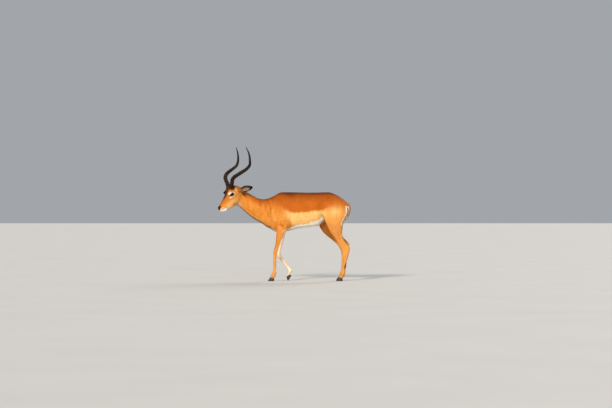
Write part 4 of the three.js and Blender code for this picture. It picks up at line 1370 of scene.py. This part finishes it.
def buildTufts(name, root, normal, way, place, m, length, width, lift, curl=0.0, joints=1, tipLift=0.30):
    # each tuft is a tapering blade: a pair of points at its root and each joint, and one at its tip
    count = len(root)
    col = lambda v: np.broadcast_to(np.asarray(v, float), count)[:, None]
    side = unit(np.cross(way, normal))
    length, width, lift = col(length), col(width), col(lift)
    bend = side * (rng.normal(0, 1, count)[:, None] * curl * length)
    rise = lift * rng.uniform(0.4, 1.1, count)[:, None]
    rows, around = [], []
    for k in range(joints + 1):
        t = k / (joints + 1)
        up = rise * math.sin(math.pi * t * 0.9) - coatPlan["sink"] * (1 - t)
        earShadow = root + way * length * t + normal * up
        earShadow = earShadow + bend * t * t
        half = side * width * 0.5 * (1.0 - 0.35 * t * t)
        rows += [earShadow - half, earShadow + half]
        around += [normal - side * 0.45, normal + side * 0.45]
    rows.append(root + way * length + normal * rise * tipLift + bend)
    around.append(normal + way * 0.12)
    verts = np.stack(rows, axis=1)
    points = len(rows)
    offset = (np.arange(count) * points)[:, None]
    quads = np.concatenate([offset + [2 * k, 2 * k + 1, 2 * k + 3, 2 * k + 2] for k in range(joints)])
    tris = offset + [2 * joints, 2 * joints + 1, 2 * joints + 2]
    mesh = bpy.data.meshes.new(name)
    mesh.vertices.add(count * points)
    mesh.vertices.foreach_set("co", verts.astype(np.float32).ravel())
    loopVerts = np.concatenate([quads.ravel(), tris.ravel()]).astype(np.int32)
    starts = np.concatenate([np.arange(len(quads)) * 4, len(quads) * 4 + np.arange(len(tris)) * 3])
    mesh.loops.add(len(loopVerts))
    mesh.loops.foreach_set("vertex_index", loopVerts)
    mesh.polygons.add(len(starts))
    mesh.polygons.foreach_set("loop_start", starts.astype(np.int32))
    mesh.update(calc_edges=True)
    mesh.shade_smooth()
    # the blade takes its shading from the skin below it, so that flat hair reads as one coat
    shading = unit(np.stack(around, axis=1)).reshape(-1, 3)
    mesh.normals_split_custom_set_from_vertices(shading.astype(np.float32))
    step = np.linspace(-1, 1, joints + 2)
    corner = np.array([[x, step[k]] for k in range(joints + 1) for x in (-1, 1)] + [[0, 1]])
    corner = corner * coatPlan["patch"] / 2
    uvAll = (np.repeat(place, points, axis=0) + np.tile(corner, (count, 1))).astype(np.float32)
    layer = mesh.uv_layers.new(name="OFBake")
    layer.data.foreach_set("uv", uvAll[loopVerts].ravel())
    paintMarks(mesh, {key: np.repeat(value, points) for key, value in m.items()})
    shade = np.repeat(rng.random(count), points)
    tipShare = np.tile([k / (joints + 1) for k in range(joints + 1) for _ in (0, 1)] + [1.0], count)
    addMask(mesh, "strand", (shade, tipShare, shade))
    thing = bpy.data.objects.new(name, mesh)
    scene.collection.objects.link(thing)
    mesh.materials.append(hairMaterial)
    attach(thing, "root")
    print(name, count, "tufts,", count * (2 * joints + 1), "triangles")


hairMaterial = tuftMaterial()
skinVerts = readVerts(skin.data)
skinNormals = readNormals(skin.data)
triangles = skinTriangles()


def coatField(points):
    # density, length, width, lift and spread at each place
    body, (u, _, _), head, neck, frontLeg, hindLeg = regions(points)
    z = body[:, 2]
    legs = np.maximum(frontLeg, hindLeg) * ramp(0.56, 0.42, z)
    c = coatPlan
    result = []
    for key in ("density", "length", "width", "lift", "spread"):
        value = np.full(len(z), c["trunk"][key])
        value = value * (1 - neck) + c["neck"][key] * neck
        value = value * (1 - legs) + c["legs"][key] * legs
        value = value * (1 - head) + c["head"][key] * head
        result.append(value)
    density, length, width, lift, stray = result
    muzzle = head * ramp(0.14, 0.27, u)
    lowLeg = legs * ramp(0.36, 0.20, z)
    length = length * (1 - 0.45 * muzzle) * (1 - 0.30 * lowLeg)
    return density, length, width * (1 - 0.30 * muzzle), lift * (1 - 0.55 * muzzle), stray


def coverBody():
    # the short coat all over head, neck, trunk and legs
    corners = triangles[0]
    centre = skinVerts[corners].mean(axis=1)
    furred = (cornerMean(skinMarks["bare"]) < 0.35) & (skinOwner[corners[:, 0]] == 0)
    u, left, v = toHead(centre)
    inMouth = (np.abs(v - mouthHeight(u)) < 0.0035) & (u > 0.244)
    inMouth |= (u > 0.281) & (v > 0.026) & (np.abs(left) < 0.016)
    inMouth &= centre[:, 2] > 0.6
    density = coatField(centre)[0] * furred * clearOfEyes(centre) * outOfHorns(centre) * ~inMouth
    point, normal, place, m, _ = scatter(density)
    _, length, width, lift, stray = coatField(point)
    way = spread(lieOfCoat(point, normal), normal, stray)
    length = length * rng.uniform(0.75, 1.25, len(point))
    # cut into pieces small enough for the library
    x, y, z = (point - bodyShift).T
    cut = coatPlan["cuts"]
    head, low = regions(point)[2] > 0.5, z < cut["low"]
    parts, rest = {"coat_head": head}, ~head
    for name, mine in (("neck", (x < cut["neck"]) & ~low), ("front_legs", low & (x < cut["legs"])),
                       ("hind_legs", low), ("shoulder", x < cut["shoulder"]),
                       ("flank", x < cut["flank"]), ("rump", x >= cut["flank"])):
        parts["coat_" + name + "_left"] = rest & mine & (y < 0)
        parts["coat_" + name + "_right"] = rest & mine & (y >= 0)
        rest = rest & ~mine
    for name, mine in parts.items():
        buildTufts(name, point[mine], normal[mine], way[mine], place[mine], only(m, mine),
                   length[mine], width[mine], lift[mine], curl=0.06)


def outOfHorns(points):
    # zero for places covered by a horn's base
    clear = np.ones(len(points))
    for k in (1, -1):
        for share in np.linspace(-0.03, 0.10, 14):
            gap = np.linalg.norm(points - hornPath(k, np.array([share]))[0], axis=1)
            clear *= gap > hornPlan["clearOfHair"]
    return clear


def clearOfEyes(points):
    # zero for places inside the lids
    keep = np.ones(len(points))
    for s in (1, -1):
        centre, gaze, front, brow = eyeAxes(s)
        q = points - centre
        a, b, c = q @ front, q @ brow, q @ gaze
        keep *= ~((np.hypot(a / 1.5, b) < 0.0128) & (c > 0))
    return keep


coverBody()

earHair = {
    "density": 30.0, "stray": 0.12, "hollowStray": 0.18,
    "back": {"width": 0.0011, "lift": 0.0010, "curl": 0.05},
    "hollow": {"width": 0.0010, "lift": 0.0038, "curl": 0.12, "joints": 2, "tipLift": 0.7},
    "fringe": {"width": 0.0009, "lift": 0.0004, "curl": 0.1},
    "fringeCount": 420, "fringeQuick": 120,
}


def coverEar(name, side, owner):
    # short hair on the back, long pale hair in the hollow, a fringe along both edges
    p = earHair
    corners = triangles[0]
    root, axis, across, inward = earFrame(side)
    centre = skinVerts[corners].mean(axis=1)
    mine = (skinOwner[corners[:, 0]] == owner) & ((centre - root) @ axis / earPlan["length"] > -0.02)
    point, normal, place, m, _ = scatter(p["density"] * mine)
    t = (point - root) @ axis / earPlan["length"]
    s = np.clip(((point - root) @ across) / earPlan["halfWidth"], -1, 1)
    hollow = normal @ inward > 0.05
    out = ~hollow
    way = flatOn(np.tile(axis, (len(point), 1)), normal)
    buildTufts("ear_back_" + name, point[out], normal[out], spread(way[out], normal[out], p["stray"]),
               place[out], only(m, out), 0.0075 * rng.uniform(0.8, 1.2, out.sum()), **p["back"])
    keep = hollow & (rng.random(len(point)) < 0.75)
    inside = flatOn(axis - across * (s * 0.55)[:, None], normal)
    length = (0.010 + 0.012 * ramp(0.75, 0.2, t)) * rng.uniform(0.6, 1.2, len(point))
    buildTufts("ear_hollow_" + name, point[keep], normal[keep],
               spread(inside[keep], normal[keep], p["hollowStray"]), place[keep], only(m, keep),
               length[keep], **p["hollow"])
    # the fringe grows from the rim, pointing out and toward the tip
    count = p["fringeCount"]
    t = rng.uniform(0.10, 0.98, count)
    s = np.where(rng.random(count) < 0.5, -1.0, 1.0)
    earShadow = earPoint(side, t, s, np.zeros(count))
    outward = unit(across[None, :] * s[:, None] + inward[None, :] * 0.4)
    way = unit(axis[None, :] + outward * rng.uniform(0.15, 0.75, count)[:, None])
    buildTufts("ear_fringe_" + name, earShadow, flatOn(np.tile(inward, (count, 1)), way), way, nearestUv(earShadow),
               earMarks(t, s, np.zeros(count, bool), side), rng.uniform(0.006, 0.012, count), **p["fringe"])


def nearestUv(points):
    # the place on the unwrap of the skin's nearest point
    return vertexUv[np.array([skinTree.find(Vector(p))[1] for p in points])]


tailHair = {
    "density": 46.0, "top": 0.800, "stray": 0.16,
    # height above the floor, with how far the hair leans and its length there
    "lean": ([0.60, 0.65, 0.70, 0.745, 0.78], [0.42, 0.40, 0.22, -0.12, -0.75]),
    "length": ([0.62, 0.70, 0.76, 0.80], [0.034, 0.030, 0.020, 0.012]),
    "hair": {"width": 0.0013, "lift": 0.0022, "curl": 0.10, "joints": 2, "tipLift": 0.6},
}


def coverTail():
    # hair that hangs from the tail and grows longer toward its end
    p = tailHair
    point, normal, place, m, _ = scatter(p["density"] * (skinOwner[triangles[0][:, 0]] == 3))
    _, y, z = (point - bodyShift).T
    keep = z < p["top"]
    down = np.stack([-np.interp(z, *p["lean"]), 0.28 * np.sign(y) * (z < 0.74), -np.ones(len(z))], axis=1)
    way = unit(unit(down) + normal * 0.10)
    length = np.interp(z, *p["length"]) * rng.uniform(0.7, 1.15, len(z))
    buildTufts("tail_hair", point[keep], normal[keep], spread(way[keep], normal[keep], p["stray"]),
               place[keep], only(m, keep), length[keep], **p["hair"])


longPlan = {
    # tufts to the square centimetre; length, width and lift in metres; what is added to the lie of the
    # coat; how much the tufts stray sideways, and how far they stand out
    "belly_edge": (7.0, 0.020, 0.0015, 0.0030, (0.25, 0, -0.20)),
    "thigh_fringe": (8.0, 0.018, 0.0014, 0.0028, (0.15, 0, -0.4)),
    "heel_tufts": (60.0, 0.014, 0.0012, 0.0035, (0.20, 0, -0.3)),
    "fetlock_tufts": (40.0, 0.010, 0.0011, 0.0022, (0.10, 0, -0.3)),
    "coronet_hair": (75.0, 0.022, 0.0013, 0.0026, (0.0, 0, -0.8), 0.10, 0.42),
    "throat_hair": (9.0, 0.018, 0.0013, 0.0030, (0.1, 0, -0.2)),
    "horn_base_hair": (70.0, 0.013, 0.0011, 0.0026, (-0.1, 0, 1.1)),
    "chin_hair": (26.0, 0.008, 0.0008, 0.0018),
}


def longHair(name, area, density, length, width, lift, pull=None, stray=0.15, flare=0.0):
    # a patch of longer hair where area, a share from 0 to 1 over the skin, asks for it
    share = cornerMean(area) * (skinOwner[triangles[0][:, 0]] == 0)
    point, normal, place, m, at = scatter(density * share)
    lie = lieOfCoat(point, normal)
    if pull:
        lie = unit(lie + np.asarray(pull)[None, :] + normal * flare)
    size = length * rng.uniform(0.6, 1.15, len(point)) * (0.5 + 0.5 * at(area))
    buildTufts(name, point, normal, spread(lie, normal, stray), place, m, size, width, lift,
               curl=0.08, joints=2, tipLift=0.8)


def coverLong():
    body, (u, _, v), head, _, _, hindLeg = regions(skinVerts)
    x, y, z = body.T
    up = skinNormals[:, 2]

    def backOf(pair, low):
        # the rear side of both legs of a pair
        left, right = (ramp(low, 0.95, legPlace(pair + side, body)[0]) for side in ("_left", "_right"))
        return np.maximum(left * (y < 0), right * (y > 0))
    behind, frontBehind = backOf("hind", 0.75), backOf("front", 0.6)
    seats = [np.linalg.norm(skinVerts - hornPath(k, np.array([0.0]))[0], axis=1) for k in (1, -1)]
    chin = head * ramp(-0.5, -0.9, skinNormals @ crownAxis) * ramp(0.22, 0.26, u)
    areas = {
        "belly_edge": (ramp(-0.6, -0.95, up) * ramp(-0.16, -0.10, x) * ramp(0.42, 0.36, x) * (z > 0.48)
                       * (1 - head)),
        "thigh_fringe": behind * ramp(0.46, 0.52, z) * ramp(0.77, 0.73, z) * hindLeg,
        "heel_tufts": behind * hump(z - 0.150, 0.028) * (x > 0.5),
        "fetlock_tufts": hump(z - 0.085, 0.014) * np.maximum(frontBehind * (x < 0.2), behind * (x > 0.4)),
        "coronet_hair": hump(z - 0.060, 0.008) * ~((y > 0) & (x < 0.3)),
        "throat_hair": ramp(-0.5, -0.9, up) * hump(np.hypot(u - 0.075, v + 0.055), 0.05) * (z > 0.6),
        "horn_base_hair": ramp(0.048, 0.036, np.min(seats, axis=0)) * outOfHorns(skinVerts),
        "chin_hair": chin * ramp(-0.006, -0.012, v - mouthHeight(u)) * (u < 0.278),
    }
    for name, area in areas.items():
        longHair(name, area, *longPlan[name])


lashPlan = {"count": 34, "from": -0.86, "to": 0.80, "width": 0.0006, "lift": 0.0016, "joints": 2,
            "tipLift": 1.6}


def addLashes():
    # a row along each upper lid
    p, plan = skinPlan, lashPlan
    roots, ways, normals = [], [], []
    for s in (1, -1):
        centre, gaze, front, brow = eyeAxes(s)
        for a in np.linspace(plan["from"], plan["to"], plan["count"]) * p["eyeHalfLength"]:
            b = p["eyeHalfHeight"] * (1 - (a / p["eyeHalfLength"]) ** 2) ** 0.75 * 1.08 + 0.0012
            r = p["eyeRadius"] + p["lid"] + 0.0004
            roots.append(centre + front * a + brow * b + gaze * math.sqrt(r * r - a * a - b * b))
            ways.append(unit(gaze * 0.85 + brow * 0.25 + front * (a / p["eyeHalfLength"] * 0.5)
                             + rng.normal(0, 0.06, 3)))
            normals.append(brow)
    roots, ways, normals = np.array(roots), np.array(ways), flatOn(np.array(normals), np.array(ways))
    m = dict(blankMarks(len(roots)), black=np.ones(len(roots)))
    buildTufts("lashes", roots, normals, ways, nearestUv(roots), m, rng.uniform(0.006, 0.0095, len(roots)),
               **{key: plan[key] for key in ("width", "lift", "joints", "tipLift")})


def makeSkinTree():
    # finds the skin's nearest vertex and its place on the unwrap
    tree = KDTree(len(skinVerts))
    for k, place in enumerate(skinVerts):
        tree.insert(place, k)
    tree.balance()
    corners, loops, uv = triangles
    where = np.zeros((len(skinVerts), 2))
    where[corners.ravel()] = uv[loops.ravel()]
    return tree, where


skinTree, vertexUv = makeSkinTree()
coverEar("left", 1, 1)
coverEar("right", -1, 2)
coverTail()
coverLong()
addLashes()


lightPlan = {
    # where each shines from, how strong, how soft in degrees, colour
    "key": {"from": (-0.45, -1.0, 0.50), "power": 2.65, "soft": 9, "colour": (1.0, 0.955, 0.875)},
    "fill": {"from": (0.20, -1.0, 0.09), "power": 1.26, "soft": 25, "colour": (1.0, 0.975, 0.93)},
    "back": {"from": (0.6, 1.0, 0.7), "power": 1.3, "soft": 30, "colour": (1.0, 0.99, 0.96)},
    "world": 0.42, "sky": (0.86, 0.90, 0.96, 1), "floorReach": 60.0,
}


def floorMaterial():
    m = Maker("pale_floor")
    cloud = m.noise(1.3, 4.0)
    grain = m.noise(90.0, 3.0)
    colour = m.mix(cloud, srgb(206, 203, 197), srgb(217, 214, 208))
    return m.finish(colour, 0.8, grain, bump=0.05, distance=0.001)


def addStage():
    reach = lightPlan["floorReach"]
    floor = meshObject("floor", [(-reach, -reach, 0), (reach, -reach, 0), (reach, reach, 0),
                                 (-reach, reach, 0)], [(0, 1, 2, 3)], smooth=False)
    floor.data.materials.append(floorMaterial())
    for name in ("key", "fill", "back"):
        plan = lightPlan[name]
        data = bpy.data.lights.new(name, "SUN")
        data.energy, data.angle = plan["power"], math.radians(plan["soft"])
        data.color = plan["colour"]
        lamp = bpy.data.objects.new(name, data)
        lamp.rotation_euler = Vector(plan["from"]).to_track_quat("Z", "Y").to_euler()
        scene.collection.objects.link(lamp)
    world = bpy.data.worlds.new("studio")
    world.use_nodes = True
    background = world.node_tree.nodes["Background"]
    background.inputs[0].default_value = lightPlan["sky"]
    background.inputs[1].default_value = lightPlan["world"]
    scene.world = world


addStage()
print("stage set")
